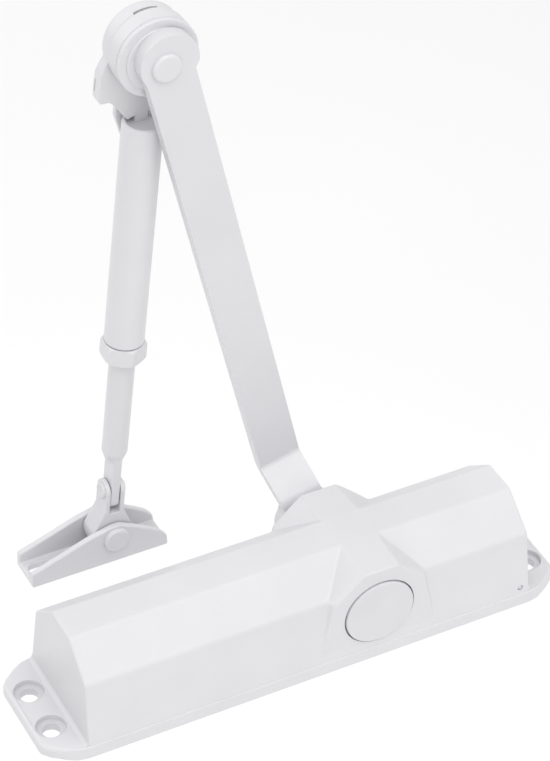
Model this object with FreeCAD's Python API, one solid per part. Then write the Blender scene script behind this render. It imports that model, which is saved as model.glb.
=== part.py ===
"""Surface-mounted door closer: cast body, rack and pinion, hold-open scissor arm and frame shoe.

Millimetres. The origin is the centre of the four fixing holes on the mounting face. +X runs
along the body towards the end with the valves, +Y along the pinion towards the arm, and +Z
away from the door. Each sub-part is written to parts/NODE.step.
"""
import FreeCAD, Part
import math
import os
from FreeCAD import Rotation, Vector

X = Vector(1, 0, 0)
Y = Vector(0, 1, 0)
Z = Vector(0, 0, 1)

# ---- Housing ----------------------------------------------------------------------------
BODY_HEIGHT = 42.6
FLANGE_THICKNESS = 5.3
BODY_END_AT_FLANGE = 88.8
BODY_END_AT_TOP = 87.9
WALL_HALF_AT_FLANGE = 24.9
WALL_HALF_AT_CREASE = 20.85
CREASE_HEIGHT = 31.1
TOP_HALF_WIDTH = 7.1
FLANGE_END = 103.8
FLANGE_FOOT_RADIUS = 4.0
EDGE_ROUND = 0.7
# Quarter of the flange's outline, from its flat end round to the body's side.
FLANGE_QUARTER = [(FLANGE_END, 16.2), (101.2, 19.3), (98.4, 21.5), (93.9, 24.0), (88.9, 25.2)]
FIXING_X = 96.4
FIXING_Y = 9.5
FIXING_RADIUS = 3.4
COUNTERBORE_RADIUS = 5.5
COUNTERBORE_DEPTH = 2.2

# ---- Pinion line and main bore --------------------------------------------------------------
PINION_X = 25.5
AXIS_Z = 21.6
BORE_RADIUS = 16.0
BORE_CLOSED_END = -80.0
PLUG_RADIUS = 16.6
PLUG_INNER = 76.0
PLUG_OUTER = 88.0
PLUG_GROOVE_AT = PLUG_INNER + 2.0
PLUG_GROOVE_WIDTH = 2.8
PLUG_GROOVE_DEPTH = 2.2
SPANNER_HOLE_Y = 9.5
SPANNER_HOLE_RADIUS = 1.6
CROSS_BORE_RADIUS = 12.0
JOURNAL_RADIUS = 8.0
RUNNING_GAP = 0.05

# ---- Bosses round the pinion ---------------------------------------------------------------
BOSS_FACE = 24.0
BOSS_TOP_HALF = 7.2
BOSS_TOP_HEIGHT = 41.3
BOSS_SHOULDER_HALF = 18.2
BOSS_SHOULDER_HEIGHT = 31.0
BOSS_WALL_HALF = 19.6
BOSS_FOOT_HALF = 22.7
BOSS_FOOT_HEIGHT = 12.0
CAP_SEAT_RADIUS = 14.05
CAP_SEAT_FLOOR = 21.4
CAP_RADIUS = 13.4
CAP_PROUD = 0.8
CAP_SHELL_RADIUS = 10.9

# ---- Bushes, seals and gland nut, as distances along the pinion --------------------------------
BUSH_INNER = 16.3
BUSH_OUTER = 20.4
SEAL_GROOVE_RADIUS = 10.2
SEAL_GROOVE_INNER = 17.5
SEAL_GROOVE_OUTER = 19.6
NEAR_SEAL_AT = 18.55
GLAND_INNER = 20.6
GLAND_OUTER = 27.2
GLAND_COLLAR_RADIUS = 11.2
GLAND_FLATS_HALF = 10.2
GLAND_GROOVE_RADIUS = 10.7
GLAND_GROOVE_INNER = 21.3
GLAND_GROOVE_OUTER = 23.9
FAR_SEAL_AT = 22.6

# ---- Rack and pinion ------------------------------------------------------------------------
MODULE = 1.5
TEETH = 10
PITCH_RADIUS = MODULE * TEETH / 2
PRESSURE_ANGLE = math.radians(25)
ADDENDUM = 1.25
DEDENDUM = 1.6
BACKLASH = 0.30
TOOTH_HALF_LENGTH = 12.6
ARM_SWING = math.radians(170)
PISTON_STROKE = PITCH_RADIUS * ARM_SWING
PISTON_RADIUS = BORE_RADIUS - RUNNING_GAP
PISTON_LEFT = 2.0
PISTON_RIGHT = 71.0
WINDOW_LEFT = 15.6
WINDOW_RIGHT = 57.6
WINDOW_TOP = 9.6

# ---- Closing spring ------------------------------------------------------------------------
WIRE_RADIUS = 2.0
COIL_RADIUS = 11.2
COIL_TURNS = 9
SEAT_THICKNESS = 3.0

# ---- Valves at the right end ----------------------------------------------------------------
VALVE_Y = 19.3
VALVE_Z = 9.5
VALVE_RADIUS = 2.4
VALVE_INNER = 72.0
VALVE_PORT_RADIUS = 0.9
PASSAGE_X = 85.0
PASSAGE_Z = VALVE_Z - 1.4
PASSAGE_RADIUS = 1.1

# ---- Arm ------------------------------------------------------------------------------------
ARM_LEAN = -13.63
ARM_LENGTH = 212.4
RIVET_AT = 211.6
RIVET_OFFSET = -0.9
ARM_THICKNESS = 5.0
ARM_FRONT = 44.5
ARM_BACK = ARM_FRONT + ARM_THICKNESS
ROOT_FRONT = 29.5
ROOT_BACK = ROOT_FRONT + ARM_THICKNESS
ROOT_RADIUS = 12.0
ROOT_HALF_WIDTH = 8.1
HEAD_HALF_WIDTH = 8.8
HEAD_RADIUS = 10.6
HEAD_OFFSET = 0.8
CRANK_START = 12.0
CRANK_END = 20.5
CRANK_SET = 2.4
BEND_INSIDE = 2.0
BEND_OUTSIDE = 6.0
SQUARE = 11.0
RIVET_RADIUS = 4.0
RIVET_HEAD_RADIUS = 5.3
RIVET_HEAD_PROUD = 1.5
RIVET_TAIL_RADIUS = 6.2
RIVET_TAIL_PROUD = 2.1
WASHER_RADIUS = 8.2
WASHER_BORE = 4.2
WASHER_THICKNESS = 1.6
SCREW_ACROSS_FLATS = 13.0
SCREW_HEAD_HEIGHT = 5.3

# ---- Elbow ----------------------------------------------------------------------------------
DISC_RADIUS = 14.6
DISC_FRONT = 50.3
DISC_BACK = 58.4
DETENT_RING_RADIUS = 8.5
DETENT_COUNT = 12
DETENT_RADIUS = 2.0
KNUCKLE_FRONT = 58.7
KNUCKLE_BACK = 65.5
KNUCKLE_RADIUS = 13.9
KNUCKLE_CAVITY = 12.4
KNUCKLE_FLOOR = 63.9
EAR_BACK = 63.4
# Ear and neck of the knuckle, as (x, z) from the elbow.
EAR_OUTLINE = [(-13.2, 2.0), (-14.2, -2.5), (-15.7, -4.8), (-17.0, -7.3), (-17.6, -11.3),
               (-18.1, -16.6), (-17.2, -18.6), (-14.0, -18.8), (-11.7, -20.6), (-10.0, -23.6),
               (-7.5, -27.4), (-0.1, -24.9), (7.0, -18.0), (11.0, -8.0)]

# ---- Forearm, measured from the elbow along its own line ---------------------------------------
FOREARM_Y = 57.5
FOREARM_TILT = 4.985
TUBE_RADIUS = 7.15
TUBE_BORE = 5.2
TUBE_TOP = 28.2
TUBE_END = 118.9
LIP_FRONT = 63.7
LIP_BACK = 66.0
LIP_TOP = 18.7
LIP_FOOT = 38.0
NUT_TOP = 119.2
NUT_HEIGHT = 7.0
NUT_ACROSS_FLATS = 14.4
NUT_TURN = 28.4
ROD_RADIUS = 4.7
ROD_TOP = 64.2
ROD_SHOULDER = 168.7
TONGUE_TOP = 172.1
TONGUE_END = 193.4
TONGUE_THICKNESS = 3.4
TONGUE_HALF_BREADTH = 3.7
FORK_PIN_AT = 186.5
SHOE_PIVOT_AT = 204.97

# ---- Fork and shoe ----------------------------------------------------------------------------
FORK_GAP_HALF = 2.0
EAR_THICKNESS = 1.7
FORK_HALF_BREADTH = 4.3
FORK_LOBE_RADIUS = 8.0
FORK_PIN_RADIUS = 2.5
PIN_HEAD_RADIUS = 3.1
PIN_HEAD_PROUD = 0.9
SHOE_RIVET_RADIUS = 3.0
SHOE_HEAD_RADIUS = 5.0
SHOE_HEAD_NEAR = 1.7
SHOE_HEAD_FAR = 1.5
SHOE_HALF_WIDTH = 7.3
SHOE_WALL = 2.5
SHOE_BASE = 2.3
SHOE_BOTTOM = 11.8
SHOE_SLOT_X = (-70.5, -30.5)
SHOE_SLOT_LENGTH = 9.0
SHOE_SLOT_HALF = 2.3
# Side outline of the shoe's walls.
SHOE_SIDE = [(-76.5, SHOE_BOTTOM), (-76.4, 18.2), (-63.7, 22.7), (-53.8, 26.4), (-48.7, 27.7), (-44.6, 28.8),
             (-41.2, 28.8), (-36.7, 26.5), (-29.5, 22.3), (-25.0, 19.2), (-22.4, 16.2), (-22.1, SHOE_BOTTOM)]


# ---- Helpers ----------------------------------------------------------------------------------
def cylinder_y(radius, y_from, y_to, x=0.0, z=0.0):
    """Cylinder along Y between two depths."""
    return Part.makeCylinder(radius, y_to - y_from, Vector(x, y_from, z), Y)


def ring_y(outer, inner, y_from, y_to, x=0.0, z=0.0):
    """Flat ring along Y."""
    return cylinder_y(outer, y_from, y_to, x, z).cut(cylinder_y(inner, y_from - 1, y_to + 1, x, z))


def box(x_from, x_to, y_from, y_to, z_from, z_to):
    """Box from its lowest to its highest corner."""
    return Part.makeBox(x_to - x_from, y_to - y_from, z_to - z_from, Vector(x_from, y_from, z_from))


def prism(points, direction):
    """Prism over a closed outline of 3-D points."""
    return Part.Face(Part.makePolygon(points + points[:1])).extrude(direction)


def prism_y(outline, y_from, y_to):
    """Prism along Y over an outline given as (x, z)."""
    return prism([Vector(x, y_from, z) for x, z in outline], Vector(0, y_to - y_from, 0))


def torus(centre, axis, ring_radius, section_radius):
    """O-ring."""
    return Part.makeTorus(ring_radius, section_radius, centre, axis)


def trim(shape, a, b, c):
    """Cut away what lies beyond the plane through a, b and c, on its right-hand side."""
    normal = (b - a).cross(c - a).normalize()
    size = 200.0
    block = Part.makeBox(size, size, size, Vector(-size / 2, -size / 2, 0))
    block.Placement = FreeCAD.Placement(a, Rotation(Z, normal))
    return shape.cut(block)


def try_round(shape, radius, chosen):
    """Round the chosen edges, or return the shape as it was where they can't be rounded."""
    try:
        rounded = shape.makeFillet(radius, chosen)
    except Part.OCCError:
        return shape
    return rounded if rounded.isValid() else shape


def edges_where(shape, test):
    """Straight edges whose two end points both pass the test."""
    return [e for e in shape.Edges if len(e.Vertexes) == 2 and all(test(v.Point) for v in e.Vertexes)]


def save(shape, node):
    """Write one sub-part."""
    solids = shape.Solids
    result = solids[0] if len(solids) == 1 else Part.makeCompound(solids)
    if not result.isValid():
        print("invalid shape:", node)
    result.exportStep("parts/%s.step" % node)
    print("%-22s solids %d  volume %.1f" % (node, len(solids), result.Volume))


# ---- Frames of the arm and the forearm -----------------------------------------------------------
LEAN_SIN = math.sin(math.radians(ARM_LEAN))
LEAN_COS = math.cos(math.radians(ARM_LEAN))
ELBOW_X = PINION_X + RIVET_AT * LEAN_SIN + RIVET_OFFSET * LEAN_COS
ELBOW_Z = AXIS_Z + RIVET_AT * LEAN_COS - RIVET_OFFSET * LEAN_SIN


def place_arm(shape):
    """Take a shape drawn with the pinion at the origin and the arm along +Z to its place."""
    shape.Placement = FreeCAD.Placement(Vector(PINION_X, 0, AXIS_Z), Rotation(Y, ARM_LEAN))
    return shape


def place_forearm(shape):
    """Take a shape drawn with the elbow at the origin and the forearm along -Z to its place."""
    shape.Placement = FreeCAD.Placement(Vector(ELBOW_X, 0, ELBOW_Z), Rotation(Y, FOREARM_TILT))
    return shape


def forearm_point(distance):
    """Point (x, z) on the forearm's line, at a distance from the elbow."""
    tilt = math.radians(FOREARM_TILT)
    return ELBOW_X - distance * math.sin(tilt), ELBOW_Z - distance * math.cos(tilt)


SHOE_PIVOT_X, SHOE_PIVOT_Z = forearm_point(SHOE_PIVOT_AT)


# ---- Housing ---------------------------------------------------------------------------------------
def boss():
    """Star-shaped boss on the -Y side, round the pinion's line, with flat facets."""
    depth = BOSS_FACE - 4.0
    half = BOSS_FOOT_HALF
    block = box(-half, half, -BOSS_FACE, -BOSS_FACE + depth, FLANGE_THICKNESS, BODY_HEIGHT)
    for side in (1, -1):
        top = Vector(side * BOSS_TOP_HALF, -BOSS_FACE, BOSS_TOP_HEIGHT)
        ridge = Vector(side * BOSS_TOP_HALF, -TOP_HALF_WIDTH, BODY_HEIGHT)
        shoulder = Vector(side * BOSS_SHOULDER_HALF, -BOSS_FACE, BOSS_SHOULDER_HEIGHT)
        wall = Vector(side * BOSS_WALL_HALF, -WALL_HALF_AT_CREASE, BOSS_SHOULDER_HEIGHT)
        foot = Vector(side * BOSS_FOOT_HALF, -BOSS_FACE, BOSS_FOOT_HEIGHT)
        for a, b, c in ((top, wall, ridge), (top, shoulder, wall), (shoulder, foot, wall)):
            if side < 0:
                b, c = c, b
            block = trim(block, a, b, c)
    left_top = Vector(-BOSS_TOP_HALF, -BOSS_FACE, BOSS_TOP_HEIGHT)
    right_top = Vector(BOSS_TOP_HALF, -BOSS_FACE, BOSS_TOP_HEIGHT)
    ridge_middle = Vector(0, -TOP_HALF_WIDTH, BODY_HEIGHT)
    block = trim(block, left_top, right_top, ridge_middle)
    block.translate(Vector(PINION_X, 0, 0))
    return block


def flange_plate():
    """Base plate with rounded flanges at both ends."""
    quarter = FLANGE_QUARTER
    outline = [(x, y) for x, y in quarter] + [(-x, y) for x, y in reversed(quarter)]
    outline += [(-x, -y) for x, y in quarter] + [(x, -y) for x, y in reversed(quarter)]
    plate = prism([Vector(x, y, 0) for x, y in outline], Vector(0, 0, FLANGE_THICKNESS))
    upright = edges_where(plate, lambda p: abs(p.x) > BODY_END_AT_FLANGE)
    upright = [e for e in upright if abs(e.Vertexes[0].Z - e.Vertexes[1].Z) > 1]
    return try_round(plate, 1.5, upright)


def body_block():
    """Drafted, chamfered block above the flange plate."""
    section = [(WALL_HALF_AT_FLANGE, 0), (WALL_HALF_AT_FLANGE, FLANGE_THICKNESS),
               (WALL_HALF_AT_CREASE, CREASE_HEIGHT), (TOP_HALF_WIDTH, BODY_HEIGHT)]
    outline = section + [(-y, z) for y, z in reversed(section)]
    reach = BODY_END_AT_FLANGE + 2
    block = prism([Vector(-reach, y, z) for y, z in outline], Vector(2 * reach, 0, 0))
    ends = [(BODY_END_AT_FLANGE, 0), (BODY_END_AT_FLANGE, FLANGE_THICKNESS), (BODY_END_AT_TOP, BODY_HEIGHT)]
    side = ends + [(-x, z) for x, z in reversed(ends)]
    return block.common(prism_y(side, -WALL_HALF_AT_FLANGE - 1, WALL_HALF_AT_FLANGE + 1))


def foot_fillets():
    """Concave strips where the end faces meet the flanges."""
    radius = FLANGE_FOOT_RADIUS
    strips = []
    for side in (1, -1):
        corner = side * (BODY_END_AT_FLANGE - 0.2)
        low = min(corner, corner + side * radius)
        strip = box(low, low + radius, -21.0, 21.0, FLANGE_THICKNESS - 0.2, FLANGE_THICKNESS + radius - 0.2)
        round_cut = cylinder_y(radius, -22.0, 22.0, corner + side * radius, FLANGE_THICKNESS + radius - 0.2)
        strips.append(strip.cut(round_cut))
    return strips


def housing():
    """Cast body with its bores, bosses, flanges and valve holes."""
    block = body_block()
    near = boss()
    far = near.mirror(Vector(0, 0, 0), Y)
    shape = block.fuse([near, far]).removeSplitter()
    long_edges = edges_where(shape, lambda p: p.z > FLANGE_THICKNESS + 4)
    shape = try_round(shape, EDGE_ROUND, long_edges)
    shape = shape.fuse([flange_plate()] + foot_fillets())
    for x in (-FIXING_X, FIXING_X):
        for y in (-FIXING_Y, FIXING_Y):
            shape = shape.cut(Part.makeCylinder(FIXING_RADIUS, FLANGE_THICKNESS + 2, Vector(x, y, -1)))
            seat = FLANGE_THICKNESS - COUNTERBORE_DEPTH
            shape = shape.cut(Part.makeCylinder(COUNTERBORE_RADIUS, 6, Vector(x, y, seat)))
    bore_length = BODY_END_AT_FLANGE + 1 - BORE_CLOSED_END
    shape = shape.cut(Part.makeCylinder(BORE_RADIUS, bore_length, Vector(BORE_CLOSED_END, 0, AXIS_Z), X))
    shape = shape.cut(Part.makeCylinder(PLUG_RADIUS, 20, Vector(PLUG_INNER, 0, AXIS_Z), X))
    shape = shape.cut(cylinder_y(CROSS_BORE_RADIUS, -BOSS_FACE - 1, BOSS_FACE + 1, PINION_X, AXIS_Z))
    shape = shape.cut(cylinder_y(CAP_SEAT_RADIUS, -BOSS_FACE - 1, -CAP_SEAT_FLOOR, PINION_X, AXIS_Z))
    for y in (-VALVE_Y, VALVE_Y):
        shape = shape.cut(Part.makeCylinder(VALVE_RADIUS, 20, Vector(VALVE_INNER, y, VALVE_Z), X))
        towards_bore = Vector(0, -y, AXIS_Z - VALVE_Z).normalize()
        port = Vector(VALVE_INNER + 1.5, y, VALVE_Z)
        shape = shape.cut(Part.makeCylinder(VALVE_PORT_RADIUS, 10, port, towards_bore))
    drill = Part.makeCylinder(PASSAGE_RADIUS, 6, Vector(PASSAGE_X, -WALL_HALF_AT_FLANGE - 1, PASSAGE_Z), Y)
    return shape.cut(drill)


# ---- Parts fixed in the housing ---------------------------------------------------------------------
def passage_plug():
    """Small pin pressed in the cross-drilled oil passage on the near wall."""
    outer_end = Vector(PASSAGE_X, -WALL_HALF_AT_FLANGE + 0.75, PASSAGE_Z)
    return Part.makeCylinder(PASSAGE_RADIUS - RUNNING_GAP, 2.0, outer_end, Y)


def end_plug():
    """Threaded plug that closes the bore, with a seal groove and two spanner holes."""
    inner_end = Vector(PLUG_INNER + 0.2, 0, AXIS_Z)
    plug = Part.makeCylinder(PLUG_RADIUS, PLUG_OUTER - PLUG_INNER - 0.2, inner_end, X)
    start = Vector(PLUG_GROOVE_AT, 0, AXIS_Z)
    groove = Part.makeCylinder(PLUG_RADIUS + 1, PLUG_GROOVE_WIDTH, start, X)
    core = Part.makeCylinder(PLUG_RADIUS - PLUG_GROOVE_DEPTH, PLUG_GROOVE_WIDTH, start, X)
    plug = plug.cut(groove.cut(core))
    for y in (-SPANNER_HOLE_Y, SPANNER_HOLE_Y):
        plug = plug.cut(Part.makeCylinder(SPANNER_HOLE_RADIUS, 10, Vector(PLUG_OUTER - 3.5, y, AXIS_Z), X))
    return plug


def plug_seal():
    """O-ring in the plug's groove."""
    return torus(Vector(PLUG_GROOVE_AT + PLUG_GROOVE_WIDTH / 2, 0, AXIS_Z), X, PLUG_RADIUS - 1.12, 1.05)


def pinion_bush_near():
    """Bearing bush in the near boss, with a seal groove in its bore."""
    bush = ring_y(CROSS_BORE_RADIUS, JOURNAL_RADIUS + RUNNING_GAP, -BUSH_OUTER, -BUSH_INNER, PINION_X, AXIS_Z)
    ends = (-SEAL_GROOVE_OUTER, -SEAL_GROOVE_INNER)
    return bush.cut(ring_y(SEAL_GROOVE_RADIUS, JOURNAL_RADIUS, *ends, PINION_X, AXIS_Z))


def pinion_seal_near():
    """O-ring in the near bush."""
    return torus(Vector(PINION_X, -NEAR_SEAL_AT, AXIS_Z), Y, 9.14, 0.95)


def pinion_bush_far():
    """Bearing bush in the arm-side boss."""
    return ring_y(CROSS_BORE_RADIUS, JOURNAL_RADIUS + RUNNING_GAP, BUSH_INNER, BUSH_OUTER, PINION_X, AXIS_Z)


def gland_nut():
    """Threaded retainer round the spindle on the arm side, with two spanner flats and a seal groove."""
    nut = ring_y(CROSS_BORE_RADIUS, JOURNAL_RADIUS + RUNNING_GAP, GLAND_INNER, BOSS_FACE, PINION_X, AXIS_Z)
    bore = JOURNAL_RADIUS + RUNNING_GAP
    collar = ring_y(GLAND_COLLAR_RADIUS, bore, BOSS_FACE, GLAND_OUTER, PINION_X, AXIS_Z)
    flats = box(PINION_X - 12, PINION_X + 12, BOSS_FACE + 0.6, 28, AXIS_Z + GLAND_FLATS_HALF, AXIS_Z + 14)
    low_flats = box(PINION_X - 12, PINION_X + 12, BOSS_FACE + 0.6, 28, AXIS_Z - 14, AXIS_Z - GLAND_FLATS_HALF)
    nut = nut.fuse(collar).removeSplitter().cut(flats).cut(low_flats)
    ends = (GLAND_GROOVE_INNER, GLAND_GROOVE_OUTER)
    return nut.cut(ring_y(GLAND_GROOVE_RADIUS, JOURNAL_RADIUS, *ends, PINION_X, AXIS_Z))


def pinion_seal_far():
    """O-ring in the gland nut."""
    return torus(Vector(PINION_X, FAR_SEAL_AT, AXIS_Z), Y, 9.36, 1.2)


def pinion_cap():
    """Round cover over the spindle's unused end: a shallow cup with a snap rim."""
    cap = cylinder_y(CAP_RADIUS, -BOSS_FACE - CAP_PROUD, -CAP_SEAT_FLOOR - 0.05, PINION_X, AXIS_Z)
    front_edge = [e for e in cap.Edges if len(e.Vertexes) == 1 and e.Vertexes[0].Y < -BOSS_FACE]
    cap = try_round(cap, 0.6, front_edge)
    cap = cap.cut(cylinder_y(CAP_SHELL_RADIUS, -23.4, -20, PINION_X, AXIS_Z))
    ends = (-CAP_SEAT_FLOOR - 0.3, -GLAND_INNER)
    rim = ring_y(CROSS_BORE_RADIUS - RUNNING_GAP, CAP_SHELL_RADIUS, *ends, PINION_X, AXIS_Z)
    return cap.fuse(rim).removeSplitter()


# ---- Valves ---------------------------------------------------------------------------------------
def valve(y):
    """Needle screw with a slotted head, a seal groove and a tapered point."""
    head_at = BODY_END_AT_TOP - 0.4
    radius = VALVE_RADIUS - RUNNING_GAP
    shank = Part.makeCylinder(radius, head_at - (VALVE_INNER + 4), Vector(VALVE_INNER + 4, y, VALVE_Z), X)
    point = Part.makeCone(0.5, radius - 0.6, 3.5, Vector(VALVE_INNER + 0.5, y, VALVE_Z), X)
    groove = Part.makeCylinder(radius + 1, 1.6, Vector(VALVE_INNER + 7, y, VALVE_Z), X)
    core = Part.makeCylinder(radius - 0.9, 1.6, Vector(VALVE_INNER + 7, y, VALVE_Z), X)
    slot = box(head_at - 1.2, head_at + 1, y - 3, y + 3, VALVE_Z - 0.4, VALVE_Z + 0.4)
    return shank.fuse(point).cut(groove.cut(core)).cut(slot)


def valve_seals():
    """The two needle screws' O-rings."""
    centre = VALVE_RADIUS - 0.48
    rings = [torus(Vector(VALVE_INNER + 7.8, y, VALVE_Z), X, centre, 0.42) for y in (-VALVE_Y, VALVE_Y)]
    return Part.makeCompound(rings)


# ---- Rack, pinion and spring --------------------------------------------------------------------------
def flank_points(base, start, tip, turn):
    """Points up one involute flank, from the start radius to the tip, turned about the centre."""
    points = []
    steps = 5
    for i in range(steps + 1):
        radius = start + (tip - start) * i / steps
        roll = math.sqrt(max(radius * radius / (base * base) - 1, 0))
        angle = turn + roll - math.atan(roll)
        points.append((radius * math.cos(angle), radius * math.sin(angle)))
    return points


def gear_outline():
    """Outline (x, z) of the pinion's teeth about the origin, with a space straight down."""
    base = PITCH_RADIUS * math.cos(PRESSURE_ANGLE)
    tip = PITCH_RADIUS + ADDENDUM
    root = PITCH_RADIUS - DEDENDUM
    involute = math.tan(PRESSURE_ANGLE) - PRESSURE_ANGLE
    half_tooth = (math.pi * MODULE / 2 - BACKLASH / 2) / (2 * PITCH_RADIUS) + involute
    outline = []
    for i in range(TEETH):
        centre = -math.pi / 2 + (i + 0.5) * 2 * math.pi / TEETH
        rising = flank_points(base, base, tip, -half_tooth)
        falling = [(x, -z) for x, z in reversed(rising)]
        tooth = [(root * math.cos(half_tooth), -root * math.sin(half_tooth))] + rising
        tooth += falling + [(root * math.cos(half_tooth), root * math.sin(half_tooth))]
        c, s = math.cos(centre), math.sin(centre)
        outline += [(x * c - z * s, x * s + z * c) for x, z in tooth]
    return outline


def pinion():
    """Spindle: teeth, two journals, a square end turned to the arm's lean and one under the cap."""
    teeth = prism_y(gear_outline(), -15.6, 15.6)
    shaft = teeth.fuse([cylinder_y(JOURNAL_RADIUS, -20.8, -15.6), cylinder_y(JOURNAL_RADIUS, 15.6, 29.4)])
    half = SQUARE / 2 - 0.02
    big_square = box(-half, half, 29.4, ROOT_BACK - 0.3, -half, half)
    big_square = big_square.common(cylinder_y(JOURNAL_RADIUS - 0.4, 29, 40))
    big_square.rotate(Vector(0, 0, 0), Y, ARM_LEAN)
    small_square = box(-4.5, 4.5, -22.8, -20.8, -4.5, 4.5)
    shaft = shaft.fuse([big_square, small_square]).cut(cylinder_y(RIVET_RADIUS, 17, 40))
    shaft = shaft.removeSplitter()
    shaft.Placement = FreeCAD.Placement(Vector(PINION_X, 0, AXIS_Z), Rotation())
    return shaft


def rack_tooth(centre):
    """One rack tooth pointing up from the window's floor."""
    half_pitch_width = (math.pi * MODULE / 2 - BACKLASH / 2) / 2
    slope = math.tan(PRESSURE_ANGLE)
    floor = -PITCH_RADIUS - DEDENDUM
    crest = -PITCH_RADIUS + ADDENDUM
    wide = half_pitch_width + DEDENDUM * slope
    narrow = half_pitch_width - ADDENDUM * slope
    outline = [(centre - wide, floor - 0.5), (centre - wide, floor), (centre - narrow, crest),
               (centre + narrow, crest), (centre + wide, floor), (centre + wide, floor - 0.5)]
    return prism_y([(x, AXIS_Z + z) for x, z in outline], -TOOTH_HALF_LENGTH, TOOTH_HALF_LENGTH)


def rack_piston():
    """Piston with a window for the pinion, a rack on the window's floor and a valve pocket."""
    length = PISTON_RIGHT - PISTON_LEFT
    piston = Part.makeCylinder(PISTON_RADIUS, length, Vector(PISTON_LEFT, 0, AXIS_Z), X)
    floor = AXIS_Z - PITCH_RADIUS - DEDENDUM
    piston = piston.cut(box(WINDOW_LEFT, WINDOW_RIGHT, -20, 20, floor, AXIS_Z + WINDOW_TOP))
    pitch = math.pi * MODULE
    reach = PISTON_STROKE + 8.0
    first = -int((PINION_X - WINDOW_LEFT - 1.9) / pitch)
    count = int(reach / pitch) + 1
    centres = [PINION_X + i * pitch for i in range(first, count)]
    piston = piston.fuse([rack_tooth(c) for c in centres]).removeSplitter()
    pocket = Part.makeCylinder(3.2, 8, Vector(PISTON_RIGHT - 7, 0, AXIS_Z), X)
    return piston.cut(pocket).cut(Part.makeCylinder(1.5, 20, Vector(WINDOW_RIGHT - 5, 0, AXIS_Z), X))


def check_ball():
    """Ball of the piston's one-way valve."""
    return Part.makeSphere(2.5, Vector(PISTON_RIGHT - 4.4, 0, AXIS_Z))


def check_seat():
    """Ring pressed in behind the ball, with the oil hole through it."""
    ring = Part.makeCylinder(3.2, 1.6, Vector(PISTON_RIGHT - 1.6, 0, AXIS_Z), X)
    return ring.cut(Part.makeCylinder(1.2, 4, Vector(PISTON_RIGHT - 3, 0, AXIS_Z), X))


def spring_seat():
    """Thrust washer between the spring and the piston, with a locating spigot."""
    seat = Part.makeCylinder(15.0, SEAT_THICKNESS, Vector(PISTON_LEFT - SEAT_THICKNESS, 0, AXIS_Z), X)
    spigot = Part.makeCylinder(7.5, 5.0, Vector(PISTON_LEFT - SEAT_THICKNESS - 5, 0, AXIS_Z), X)
    return seat.fuse(spigot).removeSplitter().cut(Part.makeCylinder(3.0, 20, Vector(-20, 0, AXIS_Z), X))


def closing_spring():
    """Compression spring on the long side of the bore."""
    start = BORE_CLOSED_END + WIRE_RADIUS + 0.3
    end = PISTON_LEFT - SEAT_THICKNESS - WIRE_RADIUS - 0.2
    height = end - start
    helix = Part.makeHelix(height / COIL_TURNS, height, COIL_RADIUS)
    circle = Part.Wire(Part.makeCircle(WIRE_RADIUS, Vector(COIL_RADIUS, 0, 0), Y))
    spring = Part.Wire(helix).makePipeShell([circle], True, True)
    spring = Part.Solid(spring) if spring.ShapeType != "Solid" else spring
    spring.Placement = FreeCAD.Placement(Vector(start, 0, AXIS_Z), Rotation(Z, X))
    return spring


# ---- Main arm ---------------------------------------------------------------------------------------
def main_arm():
    """Flat bar with a crank near its root, a square hole for the spindle and a rounded head."""
    side = [(ROOT_FRONT, -20), (ROOT_FRONT, CRANK_START), (ARM_FRONT, CRANK_END), (ARM_FRONT, 240),
            (ARM_BACK, 240), (ARM_BACK, CRANK_END - CRANK_SET),
            (ROOT_BACK, CRANK_START - CRANK_SET), (ROOT_BACK, -20)]
    strip = prism([Vector(-20, y, z) for y, z in side], Vector(40, 0, 0))
    for inside, outside in (((ROOT_BACK, CRANK_START - CRANK_SET), (ROOT_FRONT, CRANK_START)),
                            ((ARM_FRONT, CRANK_END), (ARM_BACK, CRANK_END - CRANK_SET))):
        for (y, z), radius in ((inside, BEND_INSIDE), (outside, BEND_OUTSIDE)):
            bend = edges_where(strip, lambda p: abs(p.y - y) < 0.01 and abs(p.z - z) < 0.01)
            strip = try_round(strip, radius, bend)
    bar = prism_y([(-ROOT_HALF_WIDTH, 0), (-HEAD_HALF_WIDTH, ARM_LENGTH), (HEAD_HALF_WIDTH, ARM_LENGTH),
                   (ROOT_HALF_WIDTH, 0)], 20, 60)
    ends = [cylinder_y(ROOT_RADIUS, 20, 60), cylinder_y(HEAD_RADIUS, 20, 60, HEAD_OFFSET, ARM_LENGTH)]
    arm = strip.common(bar.fuse(ends).removeSplitter())
    half = SQUARE / 2
    arm = arm.cut(box(-half, half, 20, 40, -half, half))
    arm = arm.cut(cylinder_y(RIVET_RADIUS, 40, 60, RIVET_OFFSET, RIVET_AT))
    return place_arm(arm)


def arm_washer():
    """Plain washer under the arm screw."""
    return place_arm(ring_y(WASHER_RADIUS, WASHER_BORE, ROOT_BACK, ROOT_BACK + WASHER_THICKNESS))


def arm_screw():
    """Hexagon-headed screw that clamps the arm on the spindle."""
    seat = ROOT_BACK + WASHER_THICKNESS
    corners = [math.radians(60 * i) for i in range(6)]
    across = SCREW_ACROSS_FLATS / 2 / math.cos(math.radians(30))
    outline = [(across * math.cos(a), across * math.sin(a)) for a in corners]
    head = prism_y(outline, seat, seat + SCREW_HEAD_HEIGHT)
    head = head.common(Part.makeCone(11.5, 6.3, SCREW_HEAD_HEIGHT, Vector(0, seat, 0), Y))
    return place_arm(head.fuse(cylinder_y(RIVET_RADIUS - 0.05, 19, seat)).removeSplitter())


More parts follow.
